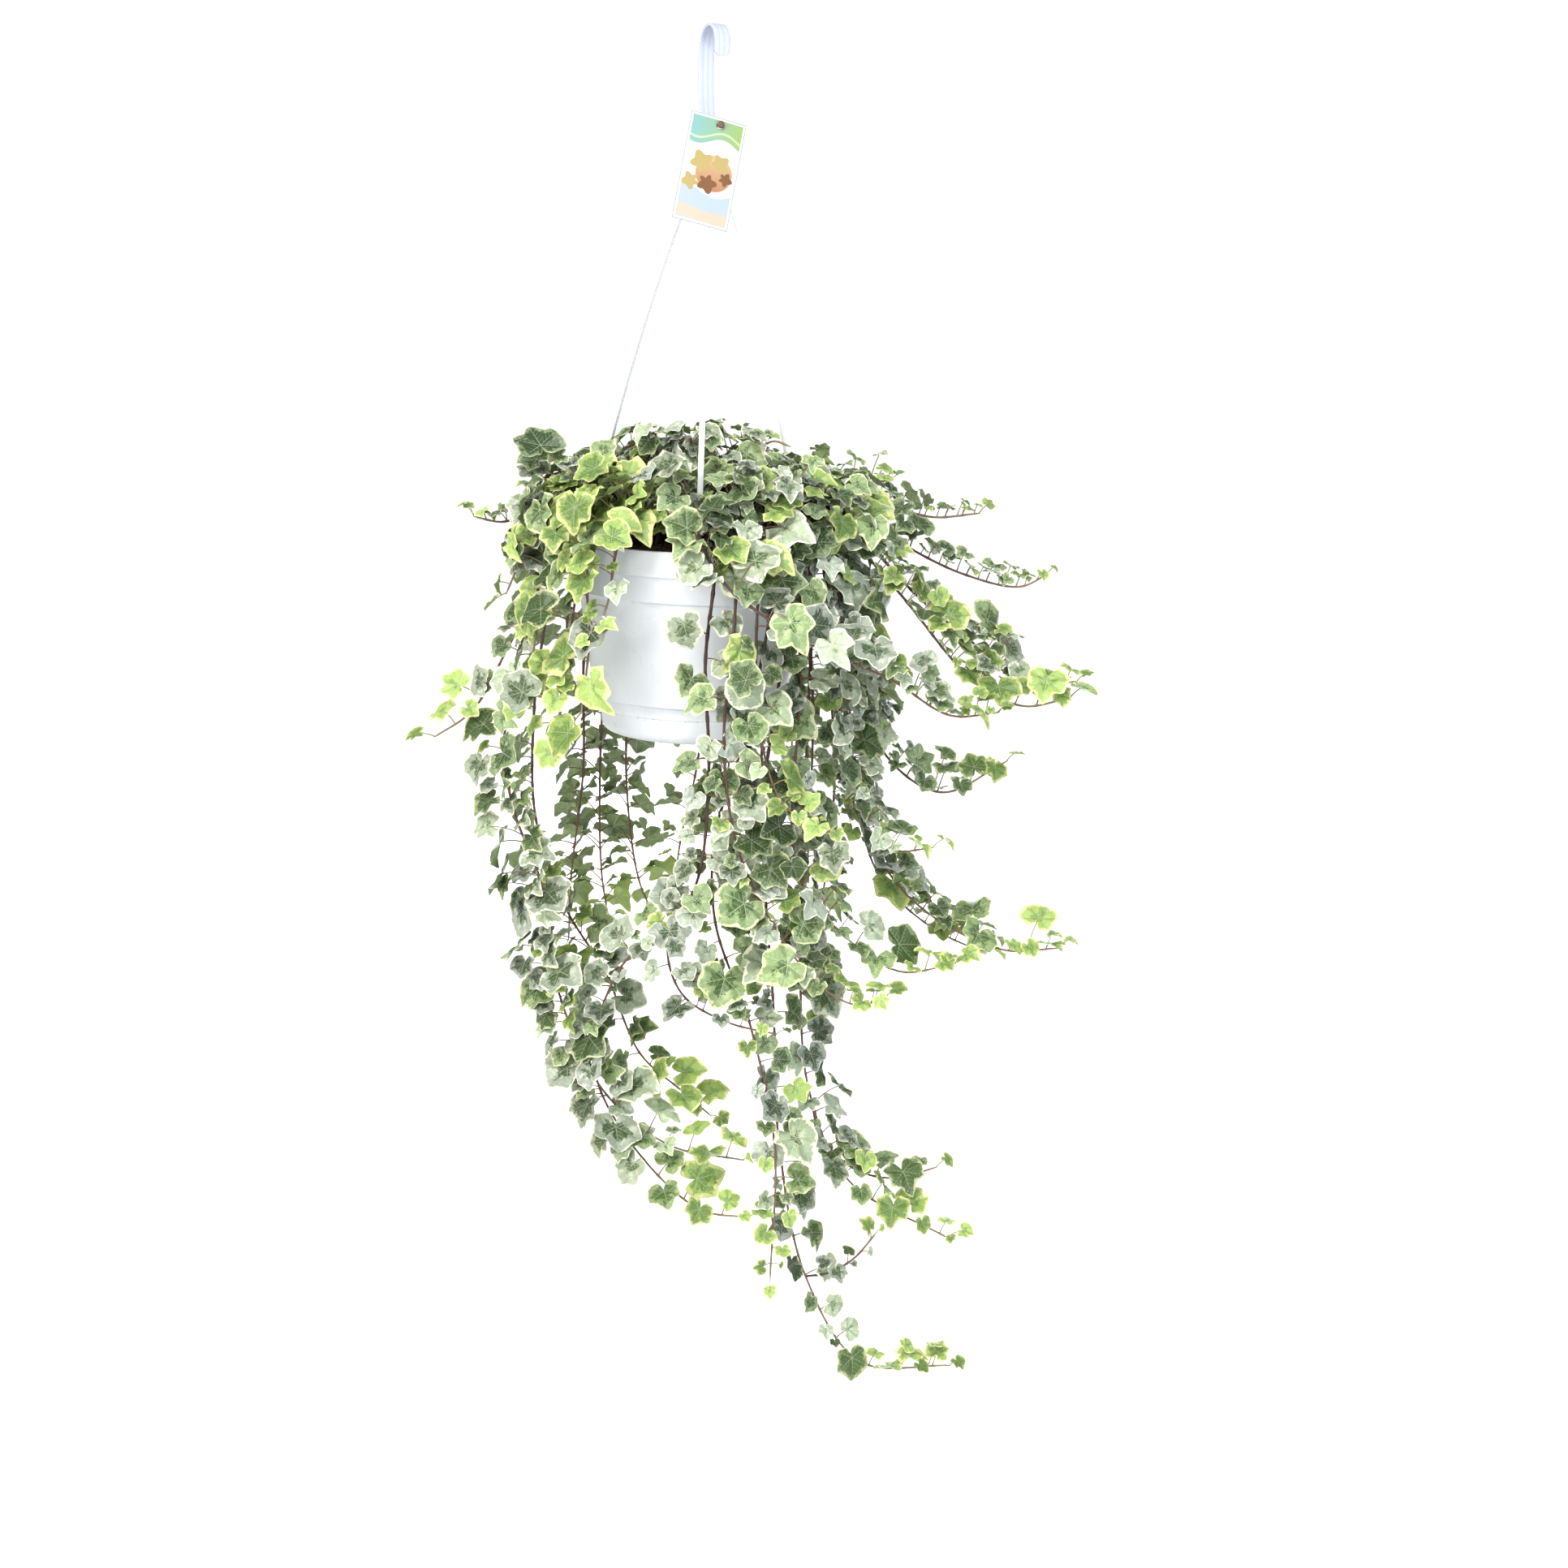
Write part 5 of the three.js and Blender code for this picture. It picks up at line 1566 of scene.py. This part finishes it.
@dataclass
class Hanger:
    """The hanger: a flat hook on a boss, and three arms whose ends clip under the pot's skirt."""

    width: float = 17.0
    thickness: float = 3.0
    azimuth: float = -65.0
    arm_width: float = 6.0
    arm_thickness: float = 1.8
    # The hook's white plastic is given a lavender grey, darker than the pot's: painted shade for a hook that
    # hangs in full light
    finish: PlasticFinish = PlasticFinish(
        name="moulded_white_hanger", colour="#bfc5d7", shade="#b5bcd0", roughness=0.34, line_depth=0.00005)
    arm_finish: PlasticFinish = PlasticFinish(
        name="natural_polypropylene_arms", colour="#f2f4f7", shade="#eef0f4", roughness=0.34,
        glow=0.8, line_depth=0.00005)
    arms = {"front": -86.0, "right": 34.0, "left": 154.0}

    @staticmethod
    def bar(width: float, thickness: float, grooves: float = 0.0) -> Array:
        """Gives a flat bar's rounded section, with two shallow lines on each face if there are any.

        Args:
            width: the bar's width.
            thickness: its thickness.
            grooves: how far the lines lie from the middle, or 0 for none.

        Returns:
            The section's points, counterclockwise.
        """
        half, high, edge = width / 2, thickness / 2, min(thickness * 0.32, 0.8)
        line = [(grooves + 0.45, 0, 0), (grooves, 0.12, 0), (grooves - 0.45, 0, 0)] if grooves else []
        right = [(x, high - depth, reach) for x, depth, reach in line]
        left = [(-x, y, reach) for x, y, reach in reversed(right)]
        upper = [(half, high, edge), *right, *left, (-half, high, edge)]
        lower = [(-x, -y, reach) for x, y, reach in upper]
        start = (0.0, -high, 0.0)
        count = len(lower) // 2
        corners = [start, *lower[count:], *upper, *lower[:count], start]
        return rounded(corners, 3)[:-1]

    def shank(self) -> Array:
        """Gives the strap's path: a uniform Catmull-Rom up the shank, the crown's half circle, the tip."""
        knots = np.array([(0, -138), (-4, -118), (-10, -98), (-17, -73), (-21, -45), (-21.5, -20)], float)
        padded = np.concatenate([knots[:1], knots, knots[-1:]])
        slope = (padded[2:] - padded[:-2]) / 2
        t = np.linspace(0, 1, 8, endpoint=False)[:, None, None]
        a, b, start, end = knots[:-1], knots[1:], slope[:-1], slope[1:]
        curve = (2 * a - 2 * b + start + end) * t**3 + (3 * b - 3 * a - 2 * start - end) * t**2
        curve = (curve + start * t + a).transpose(1, 0, 2).reshape(-1, 2)
        turn = np.linspace(math.pi, 0, 33)[:, None]
        crown = 21.5 * np.concatenate([np.cos(turn), np.sin(turn)], axis=1) - [0, 20]
        tip = np.linspace((21.4, -21.5), (20.5, -32), 12)
        return np.concatenate([curve, crown, tip])

    def build(self) -> None:
        """Makes the hook with its boss, and the arms."""
        plastic, clearer = self.finish.material(), self.arm_finish.material()
        path = self.shank()
        way = np.linalg.norm(np.diff(path, axis=0), axis=1)
        left = np.concatenate([np.cumsum(way[::-1])[::-1], [0]])
        # The strap's tip is rounded over its last 7 mm, by the height of a circle
        spread = np.sqrt(np.clip(1 - (1 - np.minimum(left / 7, 1)) ** 2, 0.05, 1))
        strap = sweep(path, self.bar(self.width, self.thickness, 2.9), self.azimuth, spread)
        boss = revolve(rounded([(0, -146, 0), (11, -146, 1.6), (11, -134, 2.4), (0, -134, 0)]), 64)
        fit(Surface(strap, boss).build("hanger_hook", [plastic]), "hook")
        for name, azimuth in self.arms.items():
            arm = sweep(self.arm_path(), self.bar(self.arm_width, self.arm_thickness, 2.0), azimuth)
            fit(Surface(arm).build(f"hanger_arm_{name}", [clearer]), f"arm_{name}")

    def arm_path(self) -> Array:
        """Gives an arm's path: a bowed quadratic curve down to the rim, then the clip under the skirt."""
        outside, low = 136.2, RIM - 28.3
        start, end = np.array([12.2, -141.0]), np.array([outside, RIM + 6])
        along = unit(end - start)
        bend = (start + end) / 2 + 19 * np.array([-along[1], along[0]])
        clip = rounded([(outside, RIM + 3, 0), (outside, low, 1.2), (132.6, low, 0)], 6)
        return np.concatenate([[[8, -140.6]], quadratic(start, bend, end, 40), clip])


@dataclass
class PlantLabel:
    """The label: a card with a round hole, hung on a brown peg that stands out of the hook."""

    width: float = 60.0
    height: float = 119.0
    thickness: float = 0.7
    centre: tuple[float, float, float] = (1.0, -26.0, -148.0)
    hole: tuple[float, float] = (2.0, 51.0)
    hole_radius: float = 3.6
    turn: float = 16.0
    lean: float = 16.0
    roll: float = 12.0
    curl: float = 0.0009

    def axes(self) -> tuple[Array, Array, Array]:
        """Gives the card's directions: across, up and out of its face."""
        turn, lean, roll = (math.radians(angle) for angle in (self.turn, self.lean, self.roll))
        level, forward = direction(self.turn), np.array([math.sin(turn), -math.cos(turn), 0])
        rise = UP * math.cos(lean) - forward * math.sin(lean)
        face = UP * math.sin(lean) + forward * math.cos(lean)
        across = level * math.cos(roll) - rise * math.sin(roll)
        return across, rise * math.cos(roll) + level * math.sin(roll), face

    def build(self) -> None:
        """Makes the card and the peg."""
        self.card()
        self.peg()

    def card(self) -> None:
        """Makes the card: rings from the hole to the edge on both faces, slightly curled crosswise."""
        half = np.array([self.width, self.height]) / 2
        hole = np.array(self.hole)
        corners = np.array([(1, 1), (-1, 1), (-1, -1), (1, -1)]) * half - hole
        angles = np.linspace(-math.pi, math.pi, 64, endpoint=False)
        # The even angles are turned a little, off the corners' own
        angles = np.sort(np.concatenate([angles + 0.013, np.arctan2(corners[:, 1], corners[:, 0])]))
        way = np.stack([np.cos(angles), np.sin(angles)], axis=1)
        reach = np.min(np.where(way > 0, half - hole, -half - hole) / way, axis=1)
        share = np.linspace(0, 1, 7)[:, None]
        radii = self.hole_radius + (reach - self.hole_radius) * share
        flat = hole + radii[..., None] * way
        rings, columns = radii.shape
        both = np.concatenate([flat, flat[::-1]])
        offset = np.where(np.arange(2 * rings) < rings, 0.5, -0.5) * self.thickness
        lift = offset[:, None] - self.curl * both[..., 0] ** 2 + self.curl * 8
        across, up, face = self.axes()
        points = both[..., :1] * across + both[..., 1:] * up + lift[..., None] * face + self.centre
        quads = ring_quads(2 * rings + 1, columns)[:, ::-1] % (2 * rings * columns)
        front = (rings - 1) * columns
        surface = Surface()
        surface.add(points.reshape(-1, 3), [quads[:front]], 0, leaf=both.reshape(-1, 2))
        surface.faces.append((quads[front:], 1))
        sides = CardFinish("printed_coated_card_front"), CardFinish("printed_coated_card_back", False)
        card = surface.build("plant_label", [side.material() for side in sides])
        fit(card, "tag")

    def peg(self) -> None:
        """Makes the peg: a pin with a domed head, turned round the hook's outward direction."""
        across, up, _ = self.axes()
        out = direction(Hanger.azimuth)
        sideways = np.cross(out, UP)
        hole = np.array(self.centre) + across * self.hole[0] + up * self.hole[1]
        neck = hole @ out + 2.2
        profile = rounded([(0, -12, 0), (2, -12, 0.5), (2, neck, 0), (4, neck, 0.5), (4, neck + 2.4, 2),
                           (0, neck + 2.4, 0)], 5)
        points, faces = revolve(profile, 40)
        x, y, z = points.T[..., None]
        middle = sideways * (hole @ sideways) + UP * (hole[2] + 1.2)
        surface = Surface((middle + x * UP + y * sideways + z * out, faces))
        fit(surface.build("label_peg", [PegFinish().material()]), "tag_peg")


# How far leaves keep from the hanger, from two open views, of the front arm and the wall, and the label
HANGER_ROOM, ARM_VIEW, WALL_VIEW, LABEL_ROOM = 9.0, 10.0, 13.0, 12.0


def kept_clear(hanger: Hanger, label: PlantLabel) -> list[tuple[Array, float]]:
    """Gives what the leaves keep clear of: the hook, the arms, two open views and the label.

    Args:
        hanger: the hanger.
        label: the label.

    Returns:
        Sets of points, each with the distance that leaves keep from them.
    """
    paths = [(hanger.shank(), hanger.azimuth), *((hanger.arm_path(), turn) for turn in hanger.arms.values())]
    clear = [(path[::2, :1] * direction(azimuth) + path[::2, 1:] * UP, HANGER_ROOM)
             for path, azimuth in paths]
    # No leaf hangs in front of the front arm, from 60 to 170 mm above the rim
    front = clear[1][0]
    front = front[(front[:, 2] > RIM + 60) & (front[:, 2] < RIM + 170)]
    clear += [(front + direction(hanger.arms["front"]) * shift, ARM_VIEW) for shift in (22, 44, 66)]
    # Nor before the pot left of its middle, where the photograph shows its wall
    turns, drops = np.meshgrid(np.radians(np.arange(236, 264, 6)), np.arange(10, 200, 18))
    wall = np.stack([np.cos(turns), np.sin(turns)], axis=-1).reshape(-1, 2)
    clear += [(np.column_stack([wall * reach, RIM - drops.ravel()]), WALL_VIEW) for reach in (145, 165)]
    across, rise, _ = label.axes()
    half, high = label.width / 2 - 2, label.height / 2 - 1.5
    x, y = np.meshgrid(np.linspace(-half, half, 5), np.linspace(-high, high, 9))
    clear.append((x.reshape(-1, 1) * across + y.reshape(-1, 1) * rise + label.centre, LABEL_ROOM))
    return clear


# The plant

@dataclass
class IvyPlant:
    """All the vines and shoots, each with its wood, stalks and leaves as one piece.

    Leaves from the large size up take the first, finer blade.
    """

    canopy: Canopy
    blades: tuple[Blade, Blade] = (Blade(48), Blade(36))
    woods: StemFinish = StemFinish()
    faces: tuple[LeafFinish, ...] = (
        LeafFinish("grey_variegated_leaf", "#3f4f39", "#969f92", "#ebe9da", grey_share=0.78,
                   palest=1.36),
        LeafFinish("green_variegated_leaf", "#394f29", "#7a8f68", "#d2d6a8", grey_share=0.5,
                   margin_spread=0.12),
        LeafFinish("young_lime_leaf", "#628038", "#94b05c", "#dce092", grey_share=0.6,
                   margin_least=0.02, margin_spread=0.22),
    )
    slots = {GREY: "ivy_grey_leaf", GREEN: "ivy_green_leaf", LIME: "ivy_young_leaf"}
    large: float = 18
    shoots: int = 9

    def build(self) -> None:
        """Makes every vine and shoot, in the order of the table, so that each gives way to those before."""
        tones = (GREY, GREEN, GREY)
        names = [f"vine_{side}_{n}" for side, count in SIDES.items() for n in range(1, count + 1)]
        named = enumerate(zip(names, VINES, strict=True))
        plants = [(name, vine.tone, vine.stems(i)) for i, (name, vine) in named]
        # One low shoot is lime
        for i in range(self.shoots):
            shoot = Shoot(i, tones[i % 3], LIME if i == 6 else tones[(i + 1) % 3])
            plants.append((f"shoot_{i + 1}", shoot.tone, shoot.stems()))
        looks = [finish.material() for finish in (*self.faces, UndersideFinish(), self.woods)]
        under, wood = len(looks) - 2, len(looks) - 1
        for node, tone, stems in plants:
            surface = Surface()
            for stem in stems:
                leaves = self.canopy.place(stem.choices())
                stem.wood(surface, wood)
                stem.stalks(surface, leaves, wood)
                for skin in range(under):
                    for blade, large in zip(self.blades, (True, False), strict=True):
                        chosen = (leaves.skin == skin) & ((leaves.size >= self.large) == large)
                        if chosen.any():
                            blade.onto(surface, leaves.pick(chosen), skin, under)
                log.info("%s: %d leaves on a %.0f mm stem", node, len(leaves), stem.curve.length)
            fit(surface.build(f"ivy_{node}", looks, 60), node)
        log.info("%d leaves in all", len(self.canopy.sizes))


# Camera, light and floor

@dataclass
class PhotoCamera:
    """The photograph's camera: eye level with the upper leaves, looking a little down."""

    place: tuple[float, float, float] = (0.1095, -2.240, -0.3614)
    pitch: float = 11.2
    roll: float = 2.7
    lens: float = 46.584

    def build(self) -> None:
        """Makes the camera. Its axes come from the pitch and the roll."""
        pitch, roll = math.radians(self.pitch), math.radians(self.roll)
        forward = np.array([0, math.cos(pitch), -math.sin(pitch)])
        up = np.array([0, math.sin(pitch), math.cos(pitch)])
        right = np.array([1.0, 0.0, 0.0])
        matrix = np.eye(4)
        matrix[:3, 0] = right * math.cos(roll) + up * math.sin(roll)
        matrix[:3, 1] = up * math.cos(roll) - right * math.sin(roll)
        matrix[:3, 2] = -forward
        matrix[:3, 3] = self.place
        camera = put("camera", bpy.data.cameras.new("camera"))
        camera.data.lens = self.lens
        camera.data.sensor_width = 36
        camera.matrix_world = Matrix(matrix.tolist())
        bpy.context.scene.camera = camera
        log.info("camera placed")


@dataclass
class Studio:
    """Soft light from the upper left, weaker from the right, above and behind, and a white floor."""

    floor_height: float = -1.56
    floor_reach: float = 40.0
    sky: float = 0.46
    lamps: tuple[tuple[str, tuple[float, float, float], float, float, str], ...] = (
        ("key_softbox", (-3.4, -3.8, 0.8), 3.4, 265.0, "#fffaf2"),
        ("fill_softbox", (2.9, -3.2, 0.0), 2.8, 95.0, "#eef4ff"),
        ("top_softbox", (-0.6, -2.4, 2.4), 1.4, 95.0, "#ffffff"),
        ("back_softbox", (0.5, 3.6, -0.2), 3.2, 110.0, "#ffffff"),
    )
    target: tuple[float, float, float] = (0.02, -0.05, -0.6)

    def build(self) -> None:
        """Makes the lamps, the sky and the floor."""
        for name, place, size, power, colour in self.lamps:
            lamp = bpy.data.lights.new(name, "AREA")
            lamp.size = size
            lamp.energy = power
            lamp.color = linear(colour)[:3]
            holder = put(name, lamp)
            aim = (Vector(self.target) - Vector(place)).to_track_quat("-Z", "Y")
            holder.matrix_world = Matrix.Translation(place) @ aim.to_matrix().to_4x4()
            holder.visible_camera = False
        bpy.context.scene.view_settings.view_transform = "Standard"
        world = bpy.data.worlds.new("studio_white")
        bpy.context.scene.world = world
        world.use_nodes = True
        world.node_tree.nodes.clear()
        node = partial(add, world.node_tree)
        seen = node("LightPath").outputs["Is Camera Ray"]
        light = node("Background", {"Color": "#eef2f8", "Strength": self.sky})
        backdrop = node("Background", {"Color": "#ffffff", "Strength": 1.05})
        mixed = node("MixShader", seen, light, backdrop)
        node("OutputWorld", {"Surface": mixed})
        self.floor()

    def floor(self) -> None:
        """Makes the floor: one wide square of matt white board."""
        reach, height = self.floor_reach / MM, self.floor_height / MM
        corners = np.array([(-1, -1, 0), (1, -1, 0), (1, 1, 0), (-1, 1, 0)], float) * reach + UP * height
        surface = Surface((corners, [np.array([[0, 1, 2, 3]])]))
        surface.build("studio_floor", [BoardFinish().material()])
        log.info("studio placed")


# How many vines hang on each side, in the order of the table
SIDES = {"left": 9, "back": 10, "front": 7, "right": 12}
VINES = (
    Vine((178, 75), 24, GREEN, ((-150, 5, 38), (-185, 0, 25), (-210, -20, 15), (-240, -30, 20))),
    Vine((170, 95), 27, GREY, ((-150, 25, 5), (-165, 20, -40), (-205, 10, -125), (-240, -15, -195),
          (-280, -30, -225)), tip=0.9, fresh=0.6),
    Vine((195, 95), 32, GREY, ((-155, -40, -10), (-175, -30, -75), (-200, -40, -195), (-190, -50, -290),
          (-155, -60, -375), (-130, -70, -500), (-75, -80, -610), (0, -90, -665), (85, -100, -675)), tip=0.7),
    Vine((162, 55), 29, GREEN, ((-155, 50, -10), (-170, 42, -110), (-180, 50, -205), (-175, 50, -330),
          (-135, 30, -430), (-85, 0, -495), (-40, -30, -580), (10, -50, -615), (45, -60, -640)), tip=0.7),
    Vine((186, 55), 27, GREY, ((-150, -15, 30), (-180, -42, -10), (-200, -55, -60))),
    Vine((206, 75), 33, LIME, ((-145, -72, -20), (-162, -85, -95), (-168, -95, -160))),
    Vine((217, 95), 35, LIME, ((-125, -92, -30), (-128, -110, -110), (-133, -130, -205)), tip=1),
    Vine((228, 55), 36, LIME, ((-105, -118, -10), (-100, -140, -95), (-105, -155, -170)), tip=1),
    Vine((239, 75), 29, LIME, ((-76, -135, -5), (-80, -155, -50), (-90, -165, -85))),
    Vine((144, 75), 27, GREEN, ((-130, 92, -20), (-150, 105, -150), (-160, 110, -260))),
    Vine((134, 95), 28, GREEN, ((-112, 115, -20), (-132, 128, -140), (-130, 130, -285), (-140, 120, -415),
          (-140, 110, -490))),
    Vine((125, 55), 29, GREEN, ((-92, 130, -20), (-108, 152, -145), (-112, 152, -290), (-105, 140, -415),
          (-90, 130, -485))),
    Vine((115, 75), 26, GREEN, ((-66, 142, -20), (-78, 168, -145), (-82, 168, -290), (-62, 155, -420),
          (-40, 142, -465))),
    Vine((103, 95), 27, GREY, ((-35, 150, -20), (-35, 170, -140), (-30, 165, -240))),
    Vine((92, 55), 22, GREEN, ((-5, 155, -20), (10, 155, -135), (5, 152, -270), (-12, 142, -370),
          (-18, 136, -440))),
    Vine((80, 75), 28, GREY, ((25, 152, -20), (42, 165, -150), (40, 160, -300), (25, 150, -380))),
    Vine((68, 95), 27, GREEN, ((57, 142, -20), (75, 152, -150), (82, 145, -340), (75, 135, -480))),
    Vine((57, 55), 29, GREY, ((84, 128, -20), (108, 138, -140), (118, 140, -260))),
    Vine((47, 75), 27, GREEN, ((107, 112, -20), (135, 118, -150), (142, 112, -340), (138, 100, -500))),
    Vine((-79, 75), 26, GREY, ((28, -146, -15), (22, -150, -110), (30, -150, -230), (15, -118, -370),
          (-65, -85, -470), (-88, -75, -580), (-50, -80, -660), (35, -110, -730), (95, -130, -730)),
         branch=((15, -118, -370), (-8, -122, -425), (10, -125, -478), (60, -122, -508),
          (115, -120, -520)), tip=0.7),
    Vine((-70, 55), 26, GREEN, ((50, -148, -15), (50, -168, -95), (45, -168, -185), (62, -152, -300),
          (105, -145, -390), (160, -150, -455), (200, -160, -470), (230, -170, -455))),
    Vine((-62, 95), 27, GREEN, ((72, -138, -15), (74, -152, -90), (78, -155, -160), (108, -170, -250),
          (155, -180, -280)), fresh=0.5),
    Vine((-56, 75), 26, GREEN, ((88, -128, -20), (78, -135, -120), (55, -128, -235), (38, -115, -300),
          (42, -108, -400), (85, -108, -515), (118, -118, -650), (120, -130, -800))),
    Vine((-50, 55), 28, GREY, ((102, -118, -20), (100, -118, -120), (88, -100, -275), (110, -88, -505),
          (122, -90, -650), (160, -100, -810), (225, -120, -900), (325, -150, -885)),
         branch=((160, -100, -810), (185, -110, -800), (212, -118, -778), (235, -122, -745)), tip=0.8),
    Vine((-43, 95), 27, GREEN, ((115, -106, -20), (122, -115, -130), (128, -120, -335), (180, -112, -405),
          (245, -110, -445), (305, -120, -430))),
    Vine((-88.5, 55), 30, GREY, ((8, -150, 28), (40, -185, -25), (125, -182, -80), (215, -162, -118),
          (280, -145, -155), (330, -142, -150)), branch=((1, -55, 12), (-20, -80, 42), (-38, -108, 42),
          (-44, -128, 22))),
    Vine((-36, 75), 28, GREEN, ((126, -88, -15), (132, -88, -190), (138, -55, -475), (155, -50, -610),
          (205, -60, -710), (320, -80, -765)), branch=((155, -50, -610), (172, -36, -668),
          (212, -34, -706), (258, -40, -712), (305, -50, -692)), tip=0.7),
    Vine((-29, 95), 30, GREY, ((138, -74, -5), (158, -88, -120), (185, -76, -240), (230, -80, -315),
          (275, -90, -310))),
    Vine((-21, 55), 31, GREY, ((148, -55, -5), (172, -52, -110), (180, -48, -220), (182, -40, -290))),
    Vine((-14, 75), 29, LIME, ((160, -42, 25), (225, -48, -40), (310, -62, -130), (362, -75, -152),
          (412, -92, -138)), tip=0.8),
    Vine((-7, 95), 29, GREEN, ((156, -20, -15), (185, -16, -130), (222, -12, -225), (285, -20, -262),
          (355, -35, -220))),
    Vine((0, 55), 27, GREEN, ((158, 2, -15), (172, 4, -165), (192, -8, -290), (260, -30, -385),
          (360, -55, -430), (422, -75, -420)), tip=0.7),
    Vine((7, 75), 26, GREEN, ((165, 18, 30), (250, 18, -50), (320, 5, -102), (372, -2, -140),
          (428, -20, -130))),
    Vine((13, 95), 27, GREEN, ((155, 37, -20), (178, 32, -190), (220, 18, -365), (285, 8, -425),
          (345, 0, -450)), tip=0.7),
    Vine((19, 55), 24, GREEN, ((155, 50, 45), (230, 62, 5), (300, 62, -25), (365, 55, -36), (395, 50, -20))),
    Vine((25, 75), 26, GREY, ((145, 66, -20), (160, 66, -175), (168, 60, -305), (160, 50, -420),
          (158, 40, -590))),
    Vine((30, 95), 22, GREEN, ((125, 72, 62), (185, 95, 58), (260, 100, 35), (318, 90, 42))),
    Vine((40, 95), 22, GREEN, ((115, 98, 70), (165, 128, 68), (218, 138, 72))),
)


def main() -> None:
    """Builds the scene in order."""
    logging.basicConfig(level=logging.INFO, format="%(message)s", stream=sys.stdout)
    PhotoCamera().build()
    Studio().build()
    HangingPot().build()
    Saucer().build()
    PottingSoil().build()
    hanger, label = Hanger(), PlantLabel()
    hanger.build()
    label.build()
    IvyPlant(Canopy(kept_clear(hanger, label))).build()
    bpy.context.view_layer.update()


if __name__ == "__main__":
    main()
